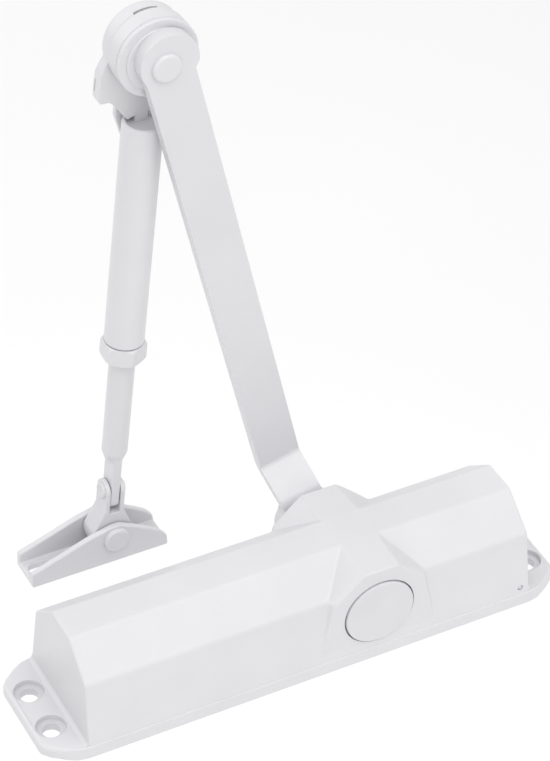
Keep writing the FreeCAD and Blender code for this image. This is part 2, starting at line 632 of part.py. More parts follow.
# ---- Elbow -------------------------------------------------------------------------------------------
def elbow_rivet():
    """Rivet through arm, disc and knuckle, domed in front and headed behind."""
    shank = cylinder_y(RIVET_RADIUS, ARM_FRONT - 0.1, KNUCKLE_BACK + 0.3, ELBOW_X, ELBOW_Z)
    dome = cylinder_y(RIVET_HEAD_RADIUS, ARM_FRONT - RIVET_HEAD_PROUD, ARM_FRONT, ELBOW_X, ELBOW_Z)
    rim = [e for e in dome.Edges if len(e.Vertexes) == 1 and e.Vertexes[0].Y < ARM_FRONT - 1]
    dome = try_round(dome, 1.2, rim)
    tail_ends = (KNUCKLE_BACK + 0.3, KNUCKLE_BACK + RIVET_TAIL_PROUD)
    tail = cylinder_y(RIVET_TAIL_RADIUS, *tail_ends, ELBOW_X, ELBOW_Z)
    rim = [e for e in tail.Edges if len(e.Vertexes) == 1 and e.Vertexes[0].Y > KNUCKLE_BACK + 1]
    tail = try_round(tail, 1.0, rim)
    return shank.fuse([dome, tail]).removeSplitter()


def hold_open_disc():
    """Detent disc fixed to the arm's head, with a ring of shallow detents on its back."""
    disc = ring_y(DISC_RADIUS, RIVET_RADIUS, DISC_FRONT, DISC_BACK)
    rims = [e for e in disc.Edges if len(e.Vertexes) == 1 and e.Curve.Radius > DISC_RADIUS - 0.1]
    disc = try_round(disc, 1.0, rims)
    for i in range(DETENT_COUNT):
        angle = 2 * math.pi * i / DETENT_COUNT
        x, z = DETENT_RING_RADIUS * math.cos(angle), DETENT_RING_RADIUS * math.sin(angle)
        disc = disc.cut(Part.makeSphere(DETENT_RADIUS, Vector(x, DISC_BACK + 1.3, z)))
    spacer = ring_y(6.5, RIVET_RADIUS, ARM_BACK, DISC_FRONT)
    disc = disc.fuse(spacer).removeSplitter()
    return place_forearm(disc)


def elbow_knuckle():
    """Cup round the rivet with an ear, an arc window in its rim and a plug that holds the tube."""
    cup = cylinder_y(KNUCKLE_RADIUS, KNUCKLE_FRONT, KNUCKLE_BACK)
    rims = [e for e in cup.Edges if len(e.Vertexes) == 1 and e.Vertexes[0].Y > KNUCKLE_BACK - 0.1]
    cup = try_round(cup, 1.6, rims)
    ear = prism_y(EAR_OUTLINE, KNUCKLE_FRONT, EAR_BACK)
    upright = edges_where(ear, lambda p: p.z < -15 and p.x < -9)
    upright = [e for e in upright if abs(e.Vertexes[0].Y - e.Vertexes[1].Y) > 1]
    ear = try_round(ear, 0.8, upright)
    ear.rotate(Vector(0, 0, 0), Y, -FOREARM_TILT)
    shape = cup.fuse(ear)
    tail = box(-2.3, 2.3, KNUCKLE_FRONT, KNUCKLE_FRONT + 2.8, -TUBE_TOP - 4, -16)
    plug = Part.makeCylinder(TUBE_BORE, 14, Vector(0, FOREARM_Y, -TUBE_TOP - 15))
    shape = shape.fuse([tail, plug]).removeSplitter()
    shape = shape.cut(cylinder_y(KNUCKLE_CAVITY, KNUCKLE_FRONT - 1, KNUCKLE_FLOOR))
    shape = shape.cut(cylinder_y(RIVET_RADIUS + RUNNING_GAP, 50, 70))
    window = ring_y(KNUCKLE_RADIUS + 1, KNUCKLE_CAVITY - 1, KNUCKLE_FRONT - 1, KNUCKLE_FRONT + 1.4)
    wedge = prism_y([(0, 0), (-11, 24), (5.0, 24)], 50, 70)
    shape = shape.cut(window.common(wedge))
    return place_forearm(shape)


def detent_plate():
    """Ring inside the knuckle that carries the detent ball."""
    ring = ring_y(KNUCKLE_CAVITY - 0.2, RIVET_RADIUS + 0.3, DISC_BACK + 1.9, DISC_BACK + 3.7)
    return place_forearm(ring.cut(cylinder_y(DETENT_RADIUS - 0.07, 50, 70, DETENT_RING_RADIUS, 0)))


def detent_ball():
    """Ball that runs over the disc's detents."""
    centre = Vector(DETENT_RING_RADIUS, DISC_BACK + 1.95, 0)
    return place_forearm(Part.makeSphere(DETENT_RADIUS - 0.1, centre))


def wave_spring():
    """Conical spring washer behind the detent plate."""
    front = DISC_BACK + 3.9
    outline = [Vector(5.0, front + 0.6, 0), Vector(11.6, front, 0), Vector(11.6, front + 0.8, 0),
               Vector(5.0, front + 1.4, 0)]
    section = Part.Face(Part.makePolygon(outline + outline[:1]))
    return place_forearm(section.revolve(Vector(0, 0, 0), Y, 360))


# ---- Forearm ------------------------------------------------------------------------------------------
def forearm_tube():
    """Round tube, flattened behind the knuckle into a lip."""
    axis = Vector(0, FOREARM_Y, 0)
    length = TUBE_END - TUBE_TOP
    tube = Part.makeCylinder(TUBE_RADIUS, length, axis - Z * TUBE_END)
    half = TUBE_RADIUS + 0.1
    lip_side = [(-half, -LIP_TOP), (-half, -TUBE_TOP - 1), (-4.0, -LIP_FOOT), (4.0, -LIP_FOOT),
                (half, -TUBE_TOP - 1), (half, -LIP_TOP)]
    lip = prism_y(lip_side, LIP_FRONT, LIP_BACK)
    upright = edges_where(lip, lambda p: p.z > -LIP_TOP - 0.1)
    upright = [e for e in upright if abs(e.Vertexes[0].Y - e.Vertexes[1].Y) > 1]
    lip = try_round(lip, 3.0, upright)
    shape = tube.fuse(lip).removeSplitter()
    shape = shape.cut(Part.makeCylinder(TUBE_BORE, length + 20, axis - Z * (TUBE_END + 1)))
    return place_forearm(shape)


def lock_nut():
    """Hexagon nut, chamfered at both ends, that locks the rod against the tube."""
    half = NUT_ACROSS_FLATS / 2 / math.cos(math.radians(30))
    corners = [math.radians(60 * i + NUT_TURN) for i in range(6)]
    low = -NUT_TOP - NUT_HEIGHT
    hexagon = [Vector(half * math.cos(a), FOREARM_Y + half * math.sin(a), low) for a in corners]
    nut = prism(hexagon, Vector(0, 0, NUT_HEIGHT))
    centre = Vector(0, FOREARM_Y, low)
    nut = nut.common(Part.makeCone(half - 0.9, half + 8.1, NUT_HEIGHT, centre))
    nut = nut.common(Part.makeCone(half + 8.1, half - 0.9, NUT_HEIGHT, centre))
    nut = nut.cut(Part.makeCylinder(ROD_RADIUS + 0.1, NUT_HEIGHT + 2, centre - Z))
    return place_forearm(nut)


def forearm_rod():
    """Rod that slides in the tube, necked down to a flat tongue."""
    axis = Vector(0, FOREARM_Y, 0)
    rod = Part.makeCylinder(ROD_RADIUS, ROD_SHOULDER - ROD_TOP, axis - Z * ROD_SHOULDER)
    neck = Part.makeCone(3.4, ROD_RADIUS, TONGUE_TOP - ROD_SHOULDER, axis - Z * TONGUE_TOP)
    half = TONGUE_THICKNESS / 2
    tongue = box(-half, half, FOREARM_Y - TONGUE_HALF_BREADTH, FOREARM_Y + TONGUE_HALF_BREADTH,
                 -TONGUE_END, -ROD_SHOULDER - 1.2)
    corners = edges_where(tongue, lambda p: p.z < -TONGUE_END + 0.1)
    corners = [e for e in corners if abs(e.Vertexes[0].X - e.Vertexes[1].X) > 1]
    tongue = try_round(tongue, 2.6, corners)
    shape = rod.fuse([neck, tongue]).removeSplitter()
    hole = Part.makeCylinder(FORK_PIN_RADIUS + RUNNING_GAP, 12, Vector(-6, FOREARM_Y, -FORK_PIN_AT), X)
    return place_forearm(shape.cut(hole))


# ---- Fork and shoe ----------------------------------------------------------------------------------------
def shoe_fork():
    """Swivel: two ears for the rod's tongue over a round lobe that turns in the shoe."""
    outer = FORK_GAP_HALF + EAR_THICKNESS
    low, high = FOREARM_Y - FORK_HALF_BREADTH, FOREARM_Y + FORK_HALF_BREADTH
    lobe = cylinder_y(FORK_LOBE_RADIUS, low, high, 0, -SHOE_PIVOT_AT)
    stem = box(-outer, outer, low, high, -SHOE_PIVOT_AT, -FORK_PIN_AT)
    top = Part.makeCylinder(FORK_HALF_BREADTH, 2 * outer, Vector(-outer, FOREARM_Y, -FORK_PIN_AT), X)
    flare_side = [(-outer, -196.0), (-FORK_LOBE_RADIUS + 0.3, -204.5), (FORK_LOBE_RADIUS - 0.3, -204.5),
                  (outer, -196.0)]
    flare = prism_y(flare_side, low, high)
    shape = lobe.fuse([stem, top, flare]).removeSplitter()
    floor = -FORK_PIN_AT - 8.6
    shape = shape.cut(box(-FORK_GAP_HALF, FORK_GAP_HALF, low - 1, high + 1, floor, -150))
    pin_hole = Part.makeCylinder(FORK_PIN_RADIUS, 20, Vector(-10, FOREARM_Y, -FORK_PIN_AT), X)
    shape = shape.cut(pin_hole)
    return place_forearm(shape.cut(cylinder_y(SHOE_RIVET_RADIUS + RUNNING_GAP, 40, 80, 0, -SHOE_PIVOT_AT)))


def fork_pin():
    """Headed pin through the fork's ears and the rod's tongue."""
    outer = FORK_GAP_HALF + EAR_THICKNESS
    centre = Vector(0, FOREARM_Y, -FORK_PIN_AT)
    pin = Part.makeCylinder(FORK_PIN_RADIUS, 2 * outer + 0.4, centre - X * (outer + 0.2), X)
    head = Part.makeCylinder(PIN_HEAD_RADIUS, PIN_HEAD_PROUD, centre - X * (outer + PIN_HEAD_PROUD), X)
    rim = [e for e in head.Edges if len(e.Vertexes) == 1 and e.Vertexes[0].X < -outer - PIN_HEAD_PROUD / 2]
    head = try_round(head, 0.4, rim)
    tail = Part.makeCone(3.3, 2.6, 0.9, centre + X * outer, X)
    return place_forearm(pin.fuse([head, tail]).removeSplitter())


def shoe():
    """U-shaped frame bracket with two slotted screw holes."""
    near, far = FOREARM_Y - SHOE_HALF_WIDTH, FOREARM_Y + SHOE_HALF_WIDTH
    shape = prism_y(SHOE_SIDE, near, far)
    low = SHOE_BOTTOM + SHOE_BASE
    shape = shape.cut(box(-90, 0, near + SHOE_WALL, far - SHOE_WALL, low, 60))
    for x in SHOE_SLOT_X:
        half = SHOE_SLOT_LENGTH / 2 - SHOE_SLOT_HALF
        slot = box(x - half, x + half, FOREARM_Y - SHOE_SLOT_HALF, FOREARM_Y + SHOE_SLOT_HALF, 0, low + 1)
        rounds = [Part.makeCylinder(SHOE_SLOT_HALF, low + 1, Vector(x + side * half, FOREARM_Y, 0))
                  for side in (-1, 1)]
        shape = shape.cut(slot.fuse(rounds))
    crown = edges_where(shape, lambda p: p.z > 14.5 and (p.y < near + 0.01 or p.y > far - 0.01))
    shape = try_round(shape, 0.6, crown)
    return shape.cut(cylinder_y(SHOE_RIVET_RADIUS, 40, 80, SHOE_PIVOT_X, SHOE_PIVOT_Z))


def shoe_rivet():
    """Rivet through the shoe's walls and the fork's lobe."""
    near, far = FOREARM_Y - SHOE_HALF_WIDTH, FOREARM_Y + SHOE_HALF_WIDTH
    heads = []
    for start, end, tip in ((near - SHOE_HEAD_NEAR, near, near - SHOE_HEAD_NEAR),
                            (far, far + SHOE_HEAD_FAR, far + SHOE_HEAD_FAR)):
        head = cylinder_y(SHOE_HEAD_RADIUS, start, end, SHOE_PIVOT_X, SHOE_PIVOT_Z)
        rim = [e for e in head.Edges if len(e.Vertexes) == 1 and abs(e.Vertexes[0].Y - tip) < 0.01]
        heads.append(try_round(head, 0.9, rim))
    shank = cylinder_y(SHOE_RIVET_RADIUS, near - 0.2, far + 0.2, SHOE_PIVOT_X, SHOE_PIVOT_Z)
    return shank.fuse(heads).removeSplitter()


def main():
    """Write every sub-part."""
    os.makedirs("parts", exist_ok=True)
    save(housing(), "housing")
    save(passage_plug(), "passage_plug")
    save(end_plug(), "end_plug")
    save(plug_seal(), "plug_seal")
    save(pinion_bush_near(), "pinion_bush_near")
    save(pinion_seal_near(), "pinion_seal_near")
    save(pinion_bush_far(), "pinion_bush_far")
    save(pinion_seal_far(), "pinion_seal_far")
    save(gland_nut(), "gland_nut")
    save(pinion_cap(), "pinion_cap")
    save(valve(-VALVE_Y), "closing_valve")
    save(valve(VALVE_Y), "latching_valve")
    save(valve_seals(), "valve_seals")
    save(pinion(), "pinion")
    save(rack_piston(), "rack_piston")
    save(check_ball(), "check_ball")
    save(check_seat(), "check_seat")
    save(spring_seat(), "spring_seat")
    save(closing_spring(), "closing_spring")
    save(main_arm(), "main_arm")
    save(arm_washer(), "arm_washer")
    save(arm_screw(), "arm_screw")
    save(elbow_rivet(), "elbow_rivet")
    save(hold_open_disc(), "hold_open_disc")
    save(elbow_knuckle(), "elbow_knuckle")
    save(detent_plate(), "detent_plate")
    save(detent_ball(), "detent_ball")
    save(wave_spring(), "wave_spring")
    save(forearm_tube(), "forearm_tube")
    save(lock_nut(), "lock_nut")
    save(forearm_rod(), "forearm_rod")
    save(shoe_fork(), "shoe_fork")
    save(fork_pin(), "fork_pin")
    save(shoe(), "shoe")
    save(shoe_rivet(), "shoe_rivet")


main()
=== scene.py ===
"""Visual model of a surface-mounted door closer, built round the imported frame.

Every piece is drawn in millimetres in its own plain frame, then taken to its place and brought
to metres. +X runs along the body to the valve end, +Y along the pinion to the arm, and +Z away
from the door.
"""

import logging
import math
from dataclasses import dataclass, field
from enum import Enum
from typing import Callable, Sequence

import bmesh
import bpy
from mathutils import Matrix, Vector


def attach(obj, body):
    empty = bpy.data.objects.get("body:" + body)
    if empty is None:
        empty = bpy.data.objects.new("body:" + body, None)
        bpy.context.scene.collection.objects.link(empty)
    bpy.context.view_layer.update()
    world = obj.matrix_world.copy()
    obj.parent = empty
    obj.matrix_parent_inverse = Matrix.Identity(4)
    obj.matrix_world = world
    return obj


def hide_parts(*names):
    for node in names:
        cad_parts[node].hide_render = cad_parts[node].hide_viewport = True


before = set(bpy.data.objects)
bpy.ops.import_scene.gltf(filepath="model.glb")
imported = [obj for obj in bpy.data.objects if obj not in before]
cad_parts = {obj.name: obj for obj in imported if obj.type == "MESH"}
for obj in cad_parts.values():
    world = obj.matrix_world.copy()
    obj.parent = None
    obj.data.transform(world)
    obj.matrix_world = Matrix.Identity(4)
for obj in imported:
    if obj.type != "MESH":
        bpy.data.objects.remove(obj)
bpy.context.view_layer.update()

LOG = logging.getLogger("closer")
MM = 0.001
FULL_TURN = 2 * math.pi
ROUND_STEPS = 72
FINE_STEPS = 96
HEXAGON = [math.radians(60 * i) for i in range(6)]
FLAT_TO_CORNER = math.cos(math.radians(30))
ON_EDGE = 0.05
Pair = tuple[float, float]
Triple = tuple[float, float, float]


class Body(Enum):
    """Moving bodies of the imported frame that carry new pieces."""

    CASE = "case"
    ARM = "spindle_arm"
    CLOSING_VALVE = "closing_valve"
    LATCHING_VALVE = "latching_valve"
    FOREARM = "forearm"
    LOCK_NUT = "lock_nut"
    ROD = "rod"
    FORK = "fork"
    SHOE = "shoe"


class Cut(Enum):
    """How one shape is combined with another."""

    TAKE_AWAY = "DIFFERENCE"
    JOIN = "UNION"
    KEEP_COMMON = "INTERSECT"


# ---- Bench: modelling operators ---------------------------------------------------------------
class Bench:
    """Small modelling steps, each a few operators on one object."""

    @staticmethod
    def clear() -> None:
        """Leave edit mode and deselect everything."""
        if bpy.context.mode != "OBJECT":
            bpy.ops.object.mode_set(mode="OBJECT")
        bpy.ops.object.select_all(action="DESELECT")

    @staticmethod
    def pick(obj: bpy.types.Object) -> None:
        """Make one object the only selected and active one."""
        Bench.clear()
        obj.select_set(True)
        bpy.context.view_layer.objects.active = obj

    @staticmethod
    def edit(obj: bpy.types.Object, everything: bool = True) -> None:
        """Go into edit mode on one object with all or nothing selected."""
        Bench.pick(obj)
        bpy.ops.object.mode_set(mode="EDIT")
        bpy.ops.mesh.select_mode(type="VERT")
        bpy.ops.mesh.select_all(action="SELECT" if everything else "DESELECT")

    @staticmethod
    def named(name: str) -> bpy.types.Object:
        """Name the object that was just added, and its mesh.

        Args:
            name: Name for both.

        Returns:
            The object.
        """
        obj = bpy.context.active_object
        obj.name = name
        obj.data.name = name
        return obj

    @staticmethod
    def settle(obj: bpy.types.Object) -> None:
        """Put an object's place, turn and size into its mesh."""
        Bench.pick(obj)
        bpy.ops.object.transform_apply(location=True, rotation=True, scale=True)

    @staticmethod
    def chain(name: str, points: list[Triple], closed: bool) -> bpy.types.Object:
        """Draw a line of edges point by point.

        Args:
            name: Name of the new object.
            points: Corners in order.
            closed: Whether the last point joins the first.

        Returns:
            A mesh of edges only.
        """
        Bench.clear()
        bpy.ops.mesh.primitive_plane_add(size=1.0, location=(0, 0, 0))
        obj = Bench.named(name)
        Bench.edit(obj)
        bpy.ops.mesh.merge(type="CENTER")
        bpy.ops.transform.translate(value=points[0])
        here = Vector(points[0])
        for point in points[1:]:
            step = Vector(point) - here
            bpy.ops.mesh.extrude_region_move(TRANSFORM_OT_translate={"value": step})
            here = Vector(point)
        if closed:
            ends = (Vector(points[0]), Vector(points[-1]))
            drawn = bmesh.from_edit_mesh(obj.data)
            for vertex in drawn.verts:
                vertex.select = any((vertex.co - end).length < 0.0001 for end in ends)
            drawn.select_flush_mode()
            bpy.ops.mesh.edge_face_add()
        return obj

    @staticmethod
    def prism(name: str, points: list[Triple], reach: Triple) -> bpy.types.Object:
        """Fill an outline and extrude it.

        Args:
            name: Name of the new object.
            points: Corners of the outline, all in one plane.
            reach: How far, and which way, the face is extruded.

        Returns:
            The closed solid.
        """
        obj = Bench.chain(name, points, closed=False)
        bpy.ops.mesh.select_all(action="SELECT")
        bpy.ops.mesh.edge_face_add()
        bpy.ops.mesh.select_all(action="SELECT")
        bpy.ops.mesh.extrude_region_move(TRANSFORM_OT_translate={"value": reach})
        Bench.face_out(obj)
        return obj

    @staticmethod
    def shell(name: str, polygons: list[list[Triple]]) -> bpy.types.Object:
        """Draw flat faces one by one and weld them into a closed solid."""
        parts = []
        for corners in polygons:
            parts.append(Bench.chain(name, corners, closed=False))
            bpy.ops.mesh.select_all(action="SELECT")
            bpy.ops.mesh.edge_face_add()
            bpy.ops.object.mode_set(mode="OBJECT")
        Bench.pick(parts[0])
        for part in parts:
            part.select_set(True)
        bpy.ops.object.join()
        Bench.clean(parts[0])
        return parts[0]

    @staticmethod
    def prism_y(name: str, outline: list[Pair], start: float, end: float) -> bpy.types.Object:
        """Extrude an (x, z) outline along Y from one depth to another."""
        return Bench.prism(name, [(x, start, z) for x, z in outline], (0, end - start, 0))

    @staticmethod
    def turned(name: str, profile: Sequence[Pair], axis: str = "Y", centre: Triple = (0, 0, 0),
               hollow: bool = False, steps: int = ROUND_STEPS) -> bpy.types.Object:
        """Spin a profile of (radius, distance along the axis) all the way round.

        Args:
            name: Name of the new object.
            profile: Points of the half section, in order.
            axis: "X", "Y" or "Z".
            centre: Point that the axis passes through, where distance is zero.
            hollow: True if the profile is a closed loop clear of the axis.
            steps: Divisions round the axis.

        Returns:
            The closed solid.
        """
        directions = {"X": ((0, 1, 0), (1, 0, 0)), "Y": ((1, 0, 0), (0, 1, 0)), "Z": ((1, 0, 0), (0, 0, 1))}
        across, along = directions[axis]
        base = Vector(centre)
        points = [tuple(base + Vector(across) * r + Vector(along) * d) for r, d in profile]
        obj = Bench.chain(name, points, closed=hollow)
        bpy.ops.mesh.select_all(action="SELECT")
        bpy.ops.mesh.spin(steps=steps, angle=FULL_TURN, center=centre, axis=along)
        bpy.ops.mesh.select_all(action="SELECT")
        bpy.ops.mesh.remove_doubles(threshold=0.0005)
        Bench.face_out(obj)
        return obj

    @staticmethod
    def face_out(obj: bpy.types.Object) -> None:
        """Turn all faces outwards and leave edit mode."""
        if bpy.context.mode != "EDIT_MESH":
            Bench.edit(obj)
        bpy.ops.mesh.select_all(action="SELECT")
        bpy.ops.mesh.normals_make_consistent(inside=False)
        bpy.ops.object.mode_set(mode="OBJECT")

    @staticmethod
    def box(name: str, low: Triple, high: Triple) -> bpy.types.Object:
        """Block between two corners."""
        Bench.clear()
        middle = [(a + b) / 2 for a, b in zip(low, high)]
        size = [b - a for a, b in zip(low, high)]
        bpy.ops.mesh.primitive_cube_add(size=1.0, location=middle, scale=size)
        obj = Bench.named(name)
        Bench.settle(obj)
        return obj

    @staticmethod
    def rod(radius: float, start: Triple, end: Triple, sides: int = ROUND_STEPS) -> bpy.types.Object:
        """Plain round bar between two points, used as a cutter or as stock."""
        Bench.clear()
        a, b = Vector(start), Vector(end)
        turn = (b - a).to_track_quat("Z", "Y").to_euler()
        bpy.ops.mesh.primitive_cylinder_add(vertices=sides, radius=radius, depth=(b - a).length,
                                            location=(a + b) / 2, rotation=turn)
        obj = Bench.named("bar")
        Bench.settle(obj)
        return obj

    @staticmethod
    def combine(obj: bpy.types.Object, other: bpy.types.Object, cut: Cut) -> bpy.types.Object:
        """Join, cut or trim a shape with another, which is used up."""
        Bench.pick(obj)
        step = obj.modifiers.new("combine", "BOOLEAN")
        step.operation = cut.value
        step.solver = "EXACT"
        step.object = other
        bpy.ops.object.modifier_apply(modifier=step.name)
        bpy.data.objects.remove(other, do_unlink=True)
        return obj

    @staticmethod
    def soften(obj: bpy.types.Object, width: float, segments: int = 3, angle: float = 25.0) -> None:
        """Round all edges sharper than an angle, in degrees."""
        Bench.pick(obj)
        step = obj.modifiers.new("soften", "BEVEL")
        step.width = width
        step.segments = segments
        step.limit_method = "ANGLE"
        step.angle_limit = math.radians(angle)
        step.miter_outer = "MITER_ARC"
        bpy.ops.object.modifier_apply(modifier=step.name)

    @staticmethod
    def soften_where(obj: bpy.types.Object, width: float, test: Callable[[Vector], bool], segments: int = 3,
                     sharper: float = 25.0) -> None:
        """Round the sharp edges whose two ends pass a test.

        Args:
            obj: The object.
            width: Width of the rounding.
            test: Says whether an end point belongs.
            segments: Strips in the rounding.
            sharper: Smallest angle between the two faces, in degrees.
        """
        Bench.edit(obj, everything=False)
        bpy.ops.mesh.select_mode(type="EDGE")
        drawn = bmesh.from_edit_mesh(obj.data)
        for edge in drawn.edges:
            sharp = len(edge.link_faces) == 2 and edge.calc_face_angle(0) > math.radians(sharper)
            edge.select = sharp and all(test(v.co) for v in edge.verts)
        bmesh.update_edit_mesh(obj.data)
        bpy.ops.mesh.bevel(offset=width, segments=segments, profile=0.5, clamp_overlap=True)
        bpy.ops.object.mode_set(mode="OBJECT")

    @staticmethod
    def clean(obj: bpy.types.Object, reach: float = 0.001, flat: float = 0.0) -> None:
        """Merge doubles, drop needle faces and turn faces outwards.

        Args:
            obj: The object.
            reach: Largest distance that is merged.
            flat: If not zero, faces within this angle in degrees are made one.
        """
        Bench.edit(obj)
        bpy.ops.mesh.remove_doubles(threshold=reach)
        bpy.ops.mesh.dissolve_degenerate(threshold=reach)
        bpy.ops.mesh.delete_loose()
        if flat:
            bpy.ops.mesh.select_all(action="SELECT")
            bpy.ops.mesh.dissolve_limited(angle_limit=math.radians(flat))
        Bench.face_out(obj)

    @staticmethod
    def shade(obj: bpy.types.Object, angle: float = 32.0) -> None:
        """Smooth shading below an angle, weighted so that flat faces stay flat."""
        Bench.pick(obj)
        bpy.ops.object.shade_smooth_by_angle(angle=math.radians(angle))
        step = obj.modifiers.new("weigh", "WEIGHTED_NORMAL")
        step.keep_sharp = True
        step.weight = 60
        bpy.ops.object.modifier_apply(modifier=step.name)


@dataclass(frozen=True)
class Place:
    """Where a piece drawn in its own frame goes.

    Attributes:
        at: Place of the frame's origin, in millimetres.
        lean: Turn about Y, in degrees.
    """

    at: Triple = (0.0, 0.0, 0.0)
    lean: float = 0.0

    def carry(self, obj: bpy.types.Object) -> None:
        """Take a piece to its place, in metres, and settle it."""
        turn = Matrix.Rotation(math.radians(self.lean), 4, "Y")
        obj.matrix_world = Matrix.Translation(Vector(self.at) * MM) @ turn @ Matrix.Scale(MM, 4)
        Bench.settle(obj)


def arc(centre: Pair, radius: float, start: float, end: float, steps: int = 8) -> list[Pair]:
    """Points along an arc, both ends included.

    Args:
        centre: Its centre.
        radius: Its radius.
        start: Angle of the first point, in degrees.
        end: Angle of the last point, in degrees.
        steps: Number of chords.

    Returns:
        The points.
    """
    angles = [math.radians(start + (end - start) * i / steps) for i in range(steps + 1)]
    return [(centre[0] + radius * math.cos(a), centre[1] + radius * math.sin(a)) for a in angles]


def rounded(corner: Pair, before: Pair, after: Pair, radius: float, steps: int = 6) -> list[Pair]:
    """Points that round one corner of an outline.

    Args:
        corner: The corner.
        before: The point before it.
        after: The point after it.
        radius: Radius of the rounding.
        steps: Number of chords.

    Returns:
        Points from one tangent point to the other.
    """
    c = Vector(corner)
    u = (Vector(before) - c).normalized()
    v = (Vector(after) - c).normalized()
    half = u.angle(v) / 2
    reach = radius / math.tan(half)
    middle = c + (u + v).normalized() * (radius / math.sin(half))
    a, b = c + u * reach - middle, c + v * reach - middle
    sweep = a.angle_signed(b)
    points = []
    for i in range(steps + 1):
        turn = -sweep * i / steps
        cos, sin = math.cos(turn), math.sin(turn)
        points.append((middle.x + a.x * cos - a.y * sin, middle.y + a.x * sin + a.y * cos))
    return points


# ---- Finishes --------------------------------------------------------------------------------
class Recipe:
    """Node builder for one material."""

    def __init__(self, name: str) -> None:
        """Start a material with a Principled shader fed by Object coordinates."""
        self.material = bpy.data.materials.new(name)
        self.material.use_nodes = True
        self.tree = self.material.node_tree
        self.shader = self.tree.nodes["Principled BSDF"]
        self.coordinates = self.tree.nodes.new("ShaderNodeTexCoord")

    def node(self, kind: str, **settings: object) -> bpy.types.Node:
        """Add a node and set its properties."""
        added = self.tree.nodes.new(kind)
        for key, value in settings.items():
            setattr(added, key, value)
        return added

    def join(self, source: bpy.types.NodeSocket, target: bpy.types.NodeSocket) -> None:
        """Link two sockets."""
        self.tree.links.new(source, target)

    def stretched(self, scale: Triple) -> bpy.types.NodeSocket:
        """Object coordinates scaled by axis.

        Args:
            scale: Scale along X, Y and Z.

        Returns:
            The vector output.
        """
        mapping = self.node("ShaderNodeMapping")
        mapping.inputs["Scale"].default_value = scale
        self.join(self.coordinates.outputs["Object"], mapping.inputs["Vector"])
        return mapping.outputs["Vector"]

    def noise(self, vector: bpy.types.NodeSocket, scale: float, detail: float = 2.0,
              roughness: float = 0.5) -> bpy.types.NodeSocket:
        """Noise value at a scale.

        Args:
            vector: Where it is read.
            scale: Features per metre, before the vector's own scale.
            detail: Octaves.
            roughness: Weight of the finer octaves.

        Returns:
            The factor output.
        """
        texture = self.node("ShaderNodeTexNoise")
        texture.inputs["Scale"].default_value = scale
        texture.inputs["Detail"].default_value = detail
        texture.inputs["Roughness"].default_value = roughness
        self.join(vector, texture.inputs["Vector"])
        return texture.outputs["Fac"]

    def span(self, source: bpy.types.NodeSocket, low: float, high: float,
             taken: Pair = (0.3, 0.7)) -> bpy.types.NodeSocket:
        """Map a value's usual range to another.

        Args:
            source: The value.
            low: Result at the start of the taken range.
            high: Result at its end.
            taken: Range of the value that is used.

        Returns:
            The result output.
        """
        mapped = self.node("ShaderNodeMapRange")
        mapped.inputs["From Min"].default_value = taken[0]
        mapped.inputs["From Max"].default_value = taken[1]
        mapped.inputs["To Min"].default_value = low
        mapped.inputs["To Max"].default_value = high
        self.join(source, mapped.inputs["Value"])
        return mapped.outputs["Result"]

    def blend(self, factor: bpy.types.NodeSocket, first: Triple,
              second: Triple) -> bpy.types.NodeSocket:
        """Mix two colours.

        Args:
            factor: Share of the second colour.
            first: Colour at zero.
            second: Colour at one.

        Returns:
            The colour output.
        """
        mix = self.node("ShaderNodeMix", data_type="RGBA")
        mix.inputs["A"].default_value = (*first, 1.0)
        mix.inputs["B"].default_value = (*second, 1.0)
        self.join(factor, mix.inputs["Factor"])
        return mix.outputs["Result"]

    def relief(self, layers: list[tuple[bpy.types.NodeSocket, float]]) -> None:
        """Stack bumps, each a height and its depth in metres, on the shader's normal."""
        previous = None
        for height, depth in layers:
            bump = self.node("ShaderNodeBump")
            bump.inputs["Strength"].default_value = 1.0
            bump.inputs["Distance"].default_value = depth
            self.join(height, bump.inputs["Height"])
            if previous is not None:
                self.join(previous, bump.inputs["Normal"])
            previous = bump.outputs["Normal"]
        self.join(previous, self.shader.inputs["Normal"])

    def set(self, **values: object) -> None:
        """Set plain values on the shader, with underscores for spaces in socket names."""
        for key, value in values.items():
            self.shader.inputs[key.replace("_", " ")].default_value = value


def shade_of(colour: Triple, factor: float) -> Triple:
    """A colour made lighter or darker by a factor."""
    return tuple(min(1.0, part * factor) for part in colour)


